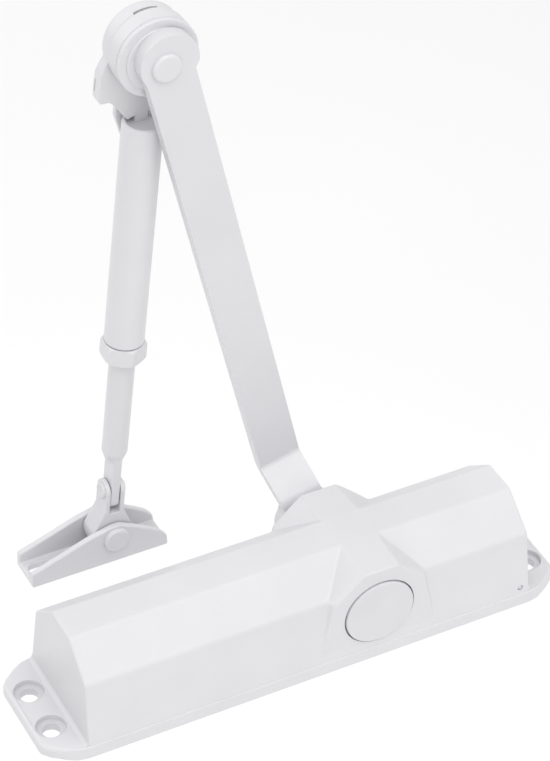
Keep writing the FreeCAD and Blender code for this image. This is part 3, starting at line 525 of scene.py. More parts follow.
@dataclass(frozen=True)
class Paint:
    """Satin powder or wet paint over metal.

    Attributes:
        name: Material name.
        colour: Base colour, linear.
        gloss: Shader roughness.
        peel: Features of orange peel per metre.
        peel_depth: Its depth in metres.
        speckle: Contrast of the fine metallic speckle.
        cloud: Contrast of the broad tone changes.
        metallic: Share of metal flake.
    """

    name: str
    colour: Triple
    gloss: float = 0.42
    peel: float = 900.0
    peel_depth: float = 0.000006
    speckle: float = 0.03
    cloud: float = 0.02
    metallic: float = 0.0

    def make(self) -> bpy.types.Material:
        """Build the material: broad cloud, fine flake speckle, orange peel and a finer grain."""
        recipe = Recipe(self.name)
        vector = recipe.coordinates.outputs["Object"]
        cloud = recipe.span(recipe.noise(vector, 38.0, 3.0), 0.0, 1.0)
        flake = recipe.span(recipe.noise(vector, 5200.0, 1.0), 0.0, 1.0, (0.35, 0.65))
        darker, lighter = shade_of(self.colour, 1 - self.cloud), shade_of(self.colour, 1 + self.cloud)
        broad = recipe.blend(cloud, darker, lighter)
        bright = recipe.node("ShaderNodeMix", data_type="RGBA", blend_type="MULTIPLY")
        bright.inputs["Factor"].default_value = 1.0
        tint = recipe.blend(flake, (1 - self.speckle,) * 3, (1.0, 1.0, 1.0))
        recipe.join(broad, bright.inputs["A"])
        recipe.join(tint, bright.inputs["B"])
        recipe.join(bright.outputs["Result"], recipe.shader.inputs["Base Color"])
        gloss = recipe.span(recipe.noise(vector, 140.0, 4.0), self.gloss - 0.05, self.gloss + 0.06)
        recipe.join(gloss, recipe.shader.inputs["Roughness"])
        peel = recipe.noise(vector, self.peel, 2.0)
        grain = recipe.noise(vector, self.peel * 4.5, 1.0)
        recipe.relief([(peel, self.peel_depth), (grain, self.peel_depth * 0.35)])
        recipe.set(Metallic=self.metallic, IOR=1.5, Coat_Weight=0.12, Coat_Roughness=0.3)
        return recipe.material


@dataclass(frozen=True)
class Metal:
    """Bare or plated metal with fine lines from turning, drawing or grinding.

    Attributes:
        name: Material name.
        colour: Base colour, linear.
        gloss: Shader roughness.
        lines: Scale of the line pattern along X, Y and Z; small along the line.
        line_depth: Depth of the lines in metres.
        stain: Contrast of tarnish and oil.
    """

    name: str
    colour: Triple
    gloss: float = 0.3
    lines: Triple = (60.0, 2200.0, 60.0)
    line_depth: float = 0.000004
    stain: float = 0.12

    def make(self) -> bpy.types.Material:
        """Build the material: stretched lines in bump and gloss over a tarnished colour."""
        recipe = Recipe(self.name)
        vector = recipe.coordinates.outputs["Object"]
        tarnish = recipe.span(recipe.noise(vector, 180.0, 5.0, 0.6), 0.0, 1.0)
        colour = recipe.blend(tarnish, shade_of(self.colour, 1 - self.stain), shade_of(self.colour, 1.05))
        recipe.join(colour, recipe.shader.inputs["Base Color"])
        lines = recipe.noise(recipe.stretched(self.lines), 1.0, 3.0)
        gloss = recipe.span(lines, self.gloss - 0.06, self.gloss + 0.08)
        recipe.join(gloss, recipe.shader.inputs["Roughness"])
        pits = recipe.noise(vector, 2600.0, 2.0)
        recipe.relief([(lines, self.line_depth), (pits, self.line_depth * 0.4)])
        recipe.set(Metallic=1.0)
        return recipe.material


@dataclass(frozen=True)
class Moulded:
    """Moulded plastic or rubber.

    Attributes:
        name: Material name.
        colour: Base colour, linear.
        gloss: Shader roughness.
        grain: Features of the mould's spark grain per metre.
        grain_depth: Its depth in metres.
    """

    name: str
    colour: Triple
    gloss: float = 0.5
    grain: float = 2400.0
    grain_depth: float = 0.000008

    def make(self) -> bpy.types.Material:
        """Build the material: spark-eroded grain and a faint flow pattern in tone and gloss."""
        recipe = Recipe(self.name)
        vector = recipe.coordinates.outputs["Object"]
        flow = recipe.span(recipe.noise(vector, 60.0, 3.0), 0.0, 1.0)
        colour = recipe.blend(flow, shade_of(self.colour, 0.985), shade_of(self.colour, 1.015))
        recipe.join(colour, recipe.shader.inputs["Base Color"])
        grain = recipe.noise(vector, self.grain, 3.0)
        gloss = recipe.span(grain, self.gloss - 0.04, self.gloss + 0.05)
        recipe.join(gloss, recipe.shader.inputs["Roughness"])
        recipe.relief([(grain, self.grain_depth)])
        recipe.set(IOR=1.46)
        return recipe.material


class Finish(Enum):
    """The object's finishes, by the record's slot."""

    BODY = "body_paint"
    ARM = "arm_paint"
    CAP = "cap_plastic"
    ZINC = "zinc_steel"
    HARD = "hard_steel"
    SPRING = "spring_steel"
    IRON = "piston_iron"
    BRONZE = "bearing_bronze"
    BRASS = "valve_brass"
    RUBBER = "seal_rubber"


SILVER_WHITE = (0.672, 0.670, 0.690)
RECIPES: dict[Finish, "Paint | Metal | Moulded"] = {
    Finish.BODY: Paint("cast body enamel", SILVER_WHITE, gloss=0.40, peel=700.0, peel_depth=0.000010),
    Finish.ARM: Paint("arm enamel", shade_of(SILVER_WHITE, 0.985), gloss=0.36, peel=1000.0, cloud=0.015),
    Finish.CAP: Moulded("cap moulding", shade_of(SILVER_WHITE, 0.975), gloss=0.45),
    Finish.ZINC: Metal("bright zinc plate", (0.62, 0.63, 0.66), gloss=0.28),
    Finish.HARD: Metal("ground steel", (0.44, 0.44, 0.46), gloss=0.24),
    Finish.SPRING: Metal("oil tempered wire", (0.16, 0.16, 0.18), gloss=0.38, stain=0.25),
    Finish.IRON: Metal("turned iron", (0.28, 0.28, 0.29), gloss=0.34, lines=(2400.0, 60.0, 60.0)),
    Finish.BRONZE: Metal("turned bronze", (0.52, 0.31, 0.13), gloss=0.3),
    Finish.BRASS: Metal("turned brass", (0.68, 0.48, 0.19), gloss=0.26, lines=(2400.0, 60.0, 60.0)),
    Finish.RUBBER: Moulded("seal rubber", (0.02, 0.02, 0.021), gloss=0.6, grain=1500.0),
}


class Wardrobe:
    """Makes each material once and dresses pieces in it."""

    def __init__(self) -> None:
        """Start empty."""
        self.made: dict[Finish, bpy.types.Material] = {}

    def material(self, finish: Finish) -> bpy.types.Material:
        """The material of a finish, made at first use."""
        if finish not in self.made:
            self.made[finish] = RECIPES[finish].make()
        return self.made[finish]

    def dress(self, obj: bpy.types.Object, finish: Finish) -> None:
        """Give a whole object one finish."""
        obj.data.materials.clear()
        obj.data.materials.append(self.material(finish))

    def dress_node(self, node: str, finish: Finish) -> None:
        """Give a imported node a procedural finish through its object's own slots."""
        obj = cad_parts[node]
        for slot in obj.material_slots:
            slot.link = "OBJECT"
            slot.material = self.material(finish)


@dataclass
class Workshop:
    """What every sub-assembly needs to hand over a finished piece."""

    wardrobe: Wardrobe = field(default_factory=Wardrobe)

    def deliver(self, obj: bpy.types.Object, node: str, body: Body, finish: Finish,
                place: Place = Place(), angle: float = 32.0) -> bpy.types.Object:
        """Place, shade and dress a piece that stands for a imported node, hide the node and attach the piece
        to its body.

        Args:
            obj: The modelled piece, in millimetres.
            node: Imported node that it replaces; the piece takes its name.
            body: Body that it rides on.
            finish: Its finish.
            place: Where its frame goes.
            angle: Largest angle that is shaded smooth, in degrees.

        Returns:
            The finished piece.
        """
        Bench.clean(obj)
        place.carry(obj)
        Bench.shade(obj, angle)
        obj.name = "look_" + node
        obj.data.name = obj.name
        self.wardrobe.dress(obj, finish)
        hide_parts(node)
        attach(obj, body.value)
        LOG.info("%-22s %6d faces on %s", obj.name, len(obj.data.polygons), body.value)
        return obj


# ---- Sub-assemblies ------------------------------------------------------------------------
@dataclass
class CaseLayout:
    """Places that the housing and its fittings share."""

    pinion_x: float = 25.5
    axis_z: float = 21.6
    boss_face: float = 24.0
    valve_y: float = 19.3
    valve_z: float = 9.5
    passage_x: float = 85.0
    passage_z: float = 8.1


@dataclass
class Housing(CaseLayout):
    """Cast body with bosses, flanges and bores."""

    height: float = 42.6
    flange: float = 5.3
    end_foot: float = 88.8
    end_top: float = 87.9
    wall_crease: float = 20.85
    foot_half: float = 25.2
    foot_low: float = 0.03
    crease: float = 31.1
    top_half: float = 7.1
    flange_quarter: tuple[Pair, ...] = (
        (103.8, 16.2), (101.2, 19.3), (98.4, 21.5), (93.9, 24.0), (88.9, 24.9))
    flange_corner: float = 2.5
    flange_rim: float = 0.5
    flange_under: float = 0.25
    strip_radius: float = 2.4
    strip_half: float = 24.1
    boss_crown: float = 41.3
    boss_shoulder: float = 31.0
    crown_reach: float = 7.2
    shoulder_reach: float = 18.2
    foot_reach: float = 23.3
    wall_reach: float = 19.6
    fixing_x: float = 96.4
    fixing_y: float = 9.5
    fixing_hole: float = 3.4
    counterbore: float = 5.5
    counterbore_depth: float = 2.2
    bore: float = 16.0
    bore_floor: float = -80.0
    plug_seat: float = 16.6
    plug_floor: float = 76.0
    cross_bore: float = 12.0
    cap_seat: float = 14.05
    cap_floor: float = -21.4
    passage: float = 1.1
    passage_floor: float = -20.0
    valve_bore: float = 2.4
    valve_floor: float = 72.0
    past_end: float = 95.0
    past_side: float = 30.0
    cast_round: float = 0.8

    def end_x(self, z: float) -> float:
        """Half length of the block at a height."""
        rise = z - self.flange
        return self.end_foot - rise * (self.end_foot - self.end_top) / (self.height - self.flange)

    def block(self) -> bpy.types.Object:
        """Drafted block with a narrow top, and a star-faceted boss on each long side."""
        px = self.pinion_x
        slope = (self.foot_half - self.wall_crease) / (self.crease - self.foot_low)
        boss_foot = self.foot_low + (self.foot_half - self.boss_face) / slope
        near, far = {}, {}
        faces = []
        for s, ends in ((-1, near), (1, far)):
            section = [(self.top_half, self.height), (self.wall_crease, self.crease),
                       (self.foot_half, self.foot_low)]
            for e in (-1, 1):
                ends[e] = [(e * self.end_x(z), s * y, z) for y, z in section]
            face = s * self.boss_face
            top = {e: (px + e * self.crown_reach, face, self.boss_crown) for e in (-1, 1)}
            shoulder = {e: (px + e * self.shoulder_reach, face, self.boss_shoulder) for e in (-1, 1)}
            foot = {e: (px + e * self.foot_reach, face, boss_foot) for e in (-1, 1)}
            ridge = {e: (px + e * self.crown_reach, s * self.top_half, self.height) for e in (-1, 1)}
            wall = {e: (px + e * self.wall_reach, s * self.wall_crease, self.crease) for e in (-1, 1)}
            for e in (-1, 1):
                faces.append([ends[e][0], ridge[e], wall[e], ends[e][1]])
                edge = [ridge[e], top[e], shoulder[e], foot[e]]
                faces += [[upper, lower, wall[e]] for upper, lower in zip(edge, edge[1:])]
            faces.append([ends[-1][1], wall[-1], foot[-1], foot[1], wall[1], ends[1][1], ends[1][2],
                          ends[-1][2]])
            faces.append([foot[-1], shoulder[-1], top[-1], top[1], shoulder[1], foot[1]])
            faces.append([top[-1], ridge[-1], ridge[1], top[1]])
            ends[0] = [ridge[-1], ridge[1]]
        faces.append([near[-1][0], *near[0], near[1][0], far[1][0], *reversed(far[0]), far[-1][0]])
        for e in (-1, 1):
            faces.append(near[e] + list(reversed(far[e])))
        faces.append([near[-1][2], near[1][2], far[1][2], far[-1][2]])
        return Bench.shell("look_housing", faces)

    def plate(self) -> bpy.types.Object:
        """Base plate with rounded flange ends and a softened upper rim."""
        right = list(reversed(self.flange_quarter)) + [(x, -y) for x, y in self.flange_quarter]
        corners = right + [(-x, -y) for x, y in right]
        plate = Bench.prism("plate", [(x, y, 0.0) for x, y in corners], (0, 0, self.flange))
        Bench.soften_where(plate, self.flange_corner, lambda p: abs(p.x) > self.end_foot + 1, segments=5,
                           sharper=12)
        Bench.soften_where(plate, self.flange_rim, lambda p: p.z > self.flange - 0.1, segments=3, sharper=60)
        Bench.soften_where(plate, self.flange_under, lambda p: p.z < 0.1, segments=2, sharper=60)
        return plate

    def foot_strip(self, side: int) -> bpy.types.Object:
        """Concave strip where an end face meets its flange."""
        radius = self.strip_radius
        hollow = arc((radius, radius), radius, 180, 270, 8)
        outline = [(-1.0, -0.4), (-1.0, radius)] + hollow + [(radius, -0.4)]
        start = self.end_foot - 0.2
        points = [(side * (start + x), -self.strip_half, self.flange - 0.05 + z) for x, z in outline]
        return Bench.prism("strip", points, (0, 2 * self.strip_half, 0))

    def drill(self, body: bpy.types.Object) -> None:
        """Cut the main bore, cross bore, cap seat, fixing holes and small ports."""
        x, z = self.pinion_x, self.axis_z
        end, side = self.past_end, self.past_side
        cuts = [(self.bore, (self.bore_floor, 0, z), (end, 0, z)),
                (self.plug_seat, (self.plug_floor, 0, z), (end, 0, z)),
                (self.cross_bore, (x, -side, z), (x, side, z)),
                (self.cap_seat, (x, -side, z), (x, self.cap_floor, z)),
                (self.passage, (self.passage_x, -side, self.passage_z),
                 (self.passage_x, self.passage_floor, self.passage_z))]
        for y in (-self.valve_y, self.valve_y):
            cuts.append((self.valve_bore, (self.valve_floor, y, self.valve_z), (end, y, self.valve_z)))
        seat = self.flange - self.counterbore_depth
        for sx in (-self.fixing_x, self.fixing_x):
            for sy in (-self.fixing_y, self.fixing_y):
                cuts.append((self.fixing_hole, (sx, sy, -1.0), (sx, sy, 8.0)))
                cuts.append((self.counterbore, (sx, sy, seat), (sx, sy, 12.0)))
        for radius, start, stop in cuts:
            sides = FINE_STEPS if radius > 10 else 48
            Bench.combine(body, Bench.rod(radius, start, stop, sides), Cut.TAKE_AWAY)

    def off_ring(self, point: Vector, radius: float) -> float:
        """How far a point is from a circle round the pinion's axis."""
        return abs(math.hypot(point.x - self.pinion_x, point.z - self.axis_z) - radius)

    def on_counterbore(self, point: Vector) -> bool:
        """Whether a point is on the upper rim of a counterbore."""
        out = math.hypot(abs(point.x) - self.fixing_x, abs(point.y) - self.fixing_y)
        return abs(point.z - self.flange) < 0.01 and abs(out - self.counterbore) < ON_EDGE

    def on_cap_rim(self, point: Vector) -> bool:
        """Whether a point is on the outer rim of the cap's seat."""
        return point.y < -self.boss_face + ON_EDGE and self.off_ring(point, self.cap_seat) < ON_EDGE

    def on_gland_rim(self, point: Vector) -> bool:
        """Whether a point is on the cross bore's rim at the arm side."""
        return point.y > self.boss_face - ON_EDGE and self.off_ring(point, self.cross_bore) < ON_EDGE

    def rims(self, body: bpy.types.Object) -> None:
        """Break the edges of the counterbores, the cap seat and the cross bore's mouth."""
        Bench.soften_where(body, 0.35, self.on_counterbore, segments=3, sharper=50)
        Bench.soften_where(body, 0.45, self.on_cap_rim, segments=3, sharper=50)
        Bench.soften_where(body, 0.3, self.on_gland_rim, segments=2, sharper=50)

    def build(self, shop: Workshop) -> None:
        """Model, drill and deliver the housing."""
        body = self.block()
        Bench.soften(body, self.cast_round, segments=3, angle=3)
        Bench.combine(body, self.plate(), Cut.JOIN)
        for side in (1, -1):
            Bench.combine(body, self.foot_strip(side), Cut.JOIN)
        self.drill(body)
        self.rims(body)
        shop.deliver(body, "housing", Body.CASE, Finish.BODY, angle=28)


@dataclass
class CaseFittings(CaseLayout):
    """Pieces that show on the housing: cap, gland nut, end plug, valves and passage plug.

    Profiles are (radius, distance along the axis), in order round the half section.
    """

    cap_proud: float = 0.8
    cap_rim: float = 0.45
    cap_rim_centre: float = 13.05
    cap_back: tuple[Pair, ...] = (
        (13.5, -21.45), (11.95, -21.45), (11.95, -20.6), (10.9, -20.6), (10.9, -23.4), (0.0, -23.4))
    gland_profile: tuple[Pair, ...] = (
        (8.05, 20.6), (11.95, 20.6), (11.95, 24.0), (11.2, 24.05), (11.2, 26.7), (10.7, 27.2), (8.5, 27.2),
        (8.05, 26.8), (8.05, 23.9), (10.7, 23.9), (10.7, 21.3), (8.05, 21.3))
    gland_flat: float = 10.2
    plug_profile: tuple[Pair, ...] = (
        (0.0, 76.2), (16.55, 76.2), (16.55, 78.0), (14.4, 78.0), (14.4, 80.8), (16.55, 80.8), (16.55, 87.4),
        (15.95, 88.0), (13.2, 88.0), (12.9, 87.75), (0.0, 87.75))
    spanner_hole: tuple[Pair, ...] = (
        (0.0, 84.5), (1.6, 84.9), (1.6, 87.4), (2.0, 87.8), (2.0, 89.0), (0.0, 89.0))
    spanner_hole_y: float = 9.5
    valve_profile: tuple[Pair, ...] = (
        (0.0, 72.5), (0.5, 72.5), (1.75, 76.0), (2.35, 76.0), (2.35, 79.0), (1.45, 79.0), (1.45, 80.6),
        (2.35, 80.6), (2.35, 87.2), (2.05, 87.5), (0.0, 87.5))
    valve_slot_half: float = 0.4
    passage_profile: tuple[Pair, ...] = (
        (0.0, -24.15), (0.7, -24.1), (1.0, -23.85), (1.05, -23.6), (1.05, -22.15), (0.0, -22.15))

    def cap(self, shop: Workshop) -> None:
        """Round cover with a raised rounded rim and a barely dished face."""
        front = -self.boss_face - self.cap_proud
        rim = arc((self.cap_rim_centre, front + self.cap_rim), self.cap_rim, 0, -90, 6)
        profile = [(0.0, front + 0.22), (8.0, front + 0.16), (11.6, front + 0.03)] + list(reversed(rim))
        profile += self.cap_back
        cap = Bench.turned("cap", profile, "Y", (self.pinion_x, 0, self.axis_z), steps=FINE_STEPS)
        shop.deliver(cap, "pinion_cap", Body.CASE, Finish.CAP)

    def gland(self, shop: Workshop) -> None:
        """Threaded retainer with two spanner flats and a seal groove."""
        nut = Bench.turned("gland", self.gland_profile, "Y", (self.pinion_x, 0, self.axis_z), hollow=True)
        for side in (1, -1):
            low, high = sorted((self.axis_z + side * self.gland_flat, self.axis_z + side * 14.0))
            flat = Bench.box("flat", (self.pinion_x - 12, 24.6, low), (self.pinion_x + 12, 28.0, high))
            Bench.combine(nut, flat, Cut.TAKE_AWAY)
        shop.deliver(nut, "gland_nut", Body.CASE, Finish.ZINC)

    def plug(self, shop: Workshop) -> None:
        """End plug with a chamfered rim, a turned face and two spanner holes."""
        plug = Bench.turned("plug", self.plug_profile, "X", (0, 0, self.axis_z), steps=FINE_STEPS)
        for y in (-self.spanner_hole_y, self.spanner_hole_y):
            hole = Bench.turned("hole", self.spanner_hole, "X", (0, y, self.axis_z), steps=32)
            Bench.combine(plug, hole, Cut.TAKE_AWAY)
        shop.deliver(plug, "end_plug", Body.CASE, Finish.BODY)

    def valve(self, shop: Workshop, node: str, body: Body, y: float) -> None:
        """Needle screw with a chamfered slotted head and a seal groove."""
        screw = Bench.turned(node, self.valve_profile, "X", (0, y, self.valve_z), steps=40)
        half = self.valve_slot_half
        slot = Bench.box("slot", (86.3, y - 3, self.valve_z - half), (88.5, y + 3, self.valve_z + half))
        Bench.combine(screw, slot, Cut.TAKE_AWAY)
        shop.deliver(screw, node, body, Finish.BRASS)

    def passage(self, shop: Workshop) -> None:
        """Small round-ended pin in the oil passage."""
        centre = (self.passage_x, 0, self.passage_z)
        pin = Bench.turned("passage", self.passage_profile, "Y", centre, steps=32)
        shop.deliver(pin, "passage_plug", Body.CASE, Finish.ZINC)

    def build(self, shop: Workshop) -> None:
        """Model and deliver each fitting."""
        self.cap(shop)
        self.gland(shop)
        self.plug(shop)
        self.valve(shop, "closing_valve", Body.CLOSING_VALVE, -self.valve_y)
        self.valve(shop, "latching_valve", Body.LATCHING_VALVE, self.valve_y)
        self.passage(shop)


@dataclass
class MainArm:
    """Cranked flat arm with its screw, washer, elbow rivet and hold-open disc."""

    lean: float = -13.63
    root: Triple = (25.5, 0.0, 21.6)
    length: float = 212.4
    rivet_at: float = 211.6
    rivet_offset: float = -0.9
    front: float = 44.5
    back: float = 49.5
    root_front: float = 29.5
    root_back: float = 34.5
    root_radius: float = 12.0
    head_half: float = 8.8
    head_radius: float = 10.6
    head_offset: float = 0.8
    crank_start: float = 12.0
    crank_end: float = 20.5
    set_back: float = 2.4
    bend_inside: float = 2.0
    bend_outside: float = 6.0
    square: float = 11.0
    rivet_hole: float = 4.0
    washer: float = 1.6
    screw_flat: float = 6.5
    screw_head: float = 5.3
    disc_front: float = 50.3
    disc_back: float = 58.4
    disc_radius: float = 14.6
    disc_detents: int = 12
    rivet_tail: float = 67.6

    @property
    def place(self) -> Place:
        """Frame of the arm, with the pinion at its origin and the arm along +Z."""
        return Place(self.root, self.lean)

    @property
    def elbow(self) -> Triple:
        """Place of the elbow, on the plane y = 0."""
        turn = Matrix.Rotation(math.radians(self.lean), 3, "Y")
        spot = Vector(self.root) + turn @ Vector((self.rivet_offset, 0, self.rivet_at))
        return tuple(spot)

    def bar(self) -> bpy.types.Object:
        """Side shape with its crank's bends, trimmed to the arm's front outline."""
        near_low, near_high = (self.root_front, self.crank_start), (self.front, self.crank_end)
        far_low = (self.root_back, self.crank_start - self.set_back)
        far_high = (self.back, self.crank_end - self.set_back)
        top, low = 240.0, -20.0
        side = [(self.root_front, low)]
        side += rounded(near_low, (self.root_front, low), near_high, self.bend_outside)
        side += rounded(near_high, near_low, (self.front, top), self.bend_inside)
        side += [(self.front, top), (self.back, top)]
        side += rounded(far_high, (self.back, top), far_low, self.bend_outside)
        side += rounded(far_low, far_high, (self.root_back, low), self.bend_inside)
        side += [(self.root_back, low)]
        strip = Bench.prism("look_main_arm", [(-20.0, y, z) for y, z in side], (40, 0, 0))
        head = arc((self.head_offset, self.length), self.head_radius, -22, 200, 28)
        outline = arc((0, 0), self.root_radius, 132.4, 407.6, 36)
        outline += [(self.head_half, self.length - 6.2)] + head + [(-self.head_half, self.length - 6.0)]
        front = Bench.prism_y("front", outline, 20.0, 60.0)
        return Bench.combine(strip, front, Cut.KEEP_COMMON)

    def arm(self, shop: Workshop) -> None:
        """Arm with its square hole, rivet hole and rounded edges."""
        arm = self.bar()
        Bench.soften(arm, 0.55, segments=3, angle=40)
        half = self.square / 2
        Bench.combine(arm, Bench.box("square", (-half, 20, -half), (half, 40, half)), Cut.TAKE_AWAY)
        hole = Bench.rod(self.rivet_hole, (self.rivet_offset, 40, self.rivet_at),
                         (self.rivet_offset, 60, self.rivet_at))
        Bench.combine(arm, hole, Cut.TAKE_AWAY)
        shop.deliver(arm, "main_arm", Body.ARM, Finish.ARM, self.place, angle=28)

    def screw(self, shop: Workshop) -> None:
        """Hexagon screw and its washer."""
        seat, under = self.root_back + self.washer, self.washer
        profile = [(4.2, seat - under), (8.0, seat - under), (8.2, seat - 1.4), (8.2, seat - 0.3),
                   (7.9, seat), (4.5, seat), (4.2, seat - 0.3)]
        washer = Bench.turned("washer", profile, hollow=True)
        shop.deliver(washer, "arm_washer", Body.ARM, Finish.ZINC, self.place)
        across = self.screw_flat / FLAT_TO_CORNER
        corners = [(across * math.cos(a), across * math.sin(a)) for a in HEXAGON]
        head = Bench.prism_y("screw", corners, seat, seat + self.screw_head)
        dome = Bench.turned("dome", [(0.0, seat - 1), (9.0, seat - 1), (9.0, seat + 3.8), (6.3, seat + 5.25),
                                     (5.4, seat + 5.3), (0.0, seat + 5.3)])
        Bench.combine(head, dome, Cut.KEEP_COMMON)
        Bench.soften(head, 0.15, segments=2, angle=35)
        profile = [(0.0, 19.0), (3.5, 19.0), (3.95, 19.5), (3.95, seat + 1), (0.0, seat + 1)]
        shank = Bench.turned("shank", profile, steps=48)
        Bench.combine(head, shank, Cut.JOIN)
        shop.deliver(head, "arm_screw", Body.ARM, Finish.ZINC, self.place)

    def rivet(self, shop: Workshop) -> None:
        """Elbow rivet with a flat rounded head in front and a broad one behind."""
        face = self.front - 1.5
        head = list(reversed(arc((4.2, face + 1.1), 1.1, 0, -90, 6)))
        tail_face = self.rivet_tail
        tail = arc((5.2, tail_face - 1.0), 1.0, 0, 90, 5)
        profile = [(0.0, face)] + head + [(5.3, self.front), (4.0, self.front), (4.0, 65.8), (6.2, 65.8)]
        profile += tail + [(0.0, tail_face)]
        x, _, z = self.elbow
        rivet = Bench.turned("rivet", profile, "Y")
        shop.deliver(rivet, "elbow_rivet", Body.ARM, Finish.ARM, Place((x, 0, z)))

    def disc(self, shop: Workshop, tilt: float) -> None:
        """Hold-open disc with a rounded front rim and a ring of detents behind."""
        front, back, radius = self.disc_front, self.disc_back, self.disc_radius
        rim = list(reversed(arc((radius - 0.5, front + 0.5), 0.5, 0, -90, 5)))
        groove = [(radius, front + 1.3), (radius - 0.35, front + 1.5), (radius - 0.35, front + 1.75),
                  (radius, front + 1.95)]
        step = [(4.05, 49.55), (11.3, 49.55), (11.6, 49.85), (11.6, front)]
        profile = step + rim + groove + [(radius, back - 0.4), (radius - 0.4, back), (4.05, back)]
        disc = Bench.turned("disc", profile, "Y", hollow=True, steps=FINE_STEPS)
        ball = Bench.turned("ball", arc((0.0, back + 1.3), 2.0, -90, 90, 12), "Y", (8.5, 0, 0), steps=24)
        for i in range(self.disc_detents):
            dent = ball.copy()
            dent.data = ball.data.copy()
            bpy.context.collection.objects.link(dent)
            dent.matrix_world = Matrix.Rotation(FULL_TURN * i / self.disc_detents, 4, "Y")
            Bench.settle(dent)
            Bench.combine(disc, dent, Cut.TAKE_AWAY)
        bpy.data.objects.remove(ball, do_unlink=True)
        x, _, z = self.elbow
        shop.deliver(disc, "hold_open_disc", Body.ARM, Finish.ARM, Place((x, 0, z), tilt))

    def build(self, shop: Workshop, tilt: float) -> None:
        """Model and deliver the arm's pieces."""
        self.arm(shop)
        self.screw(shop)
        self.rivet(shop)
        self.disc(shop, tilt)


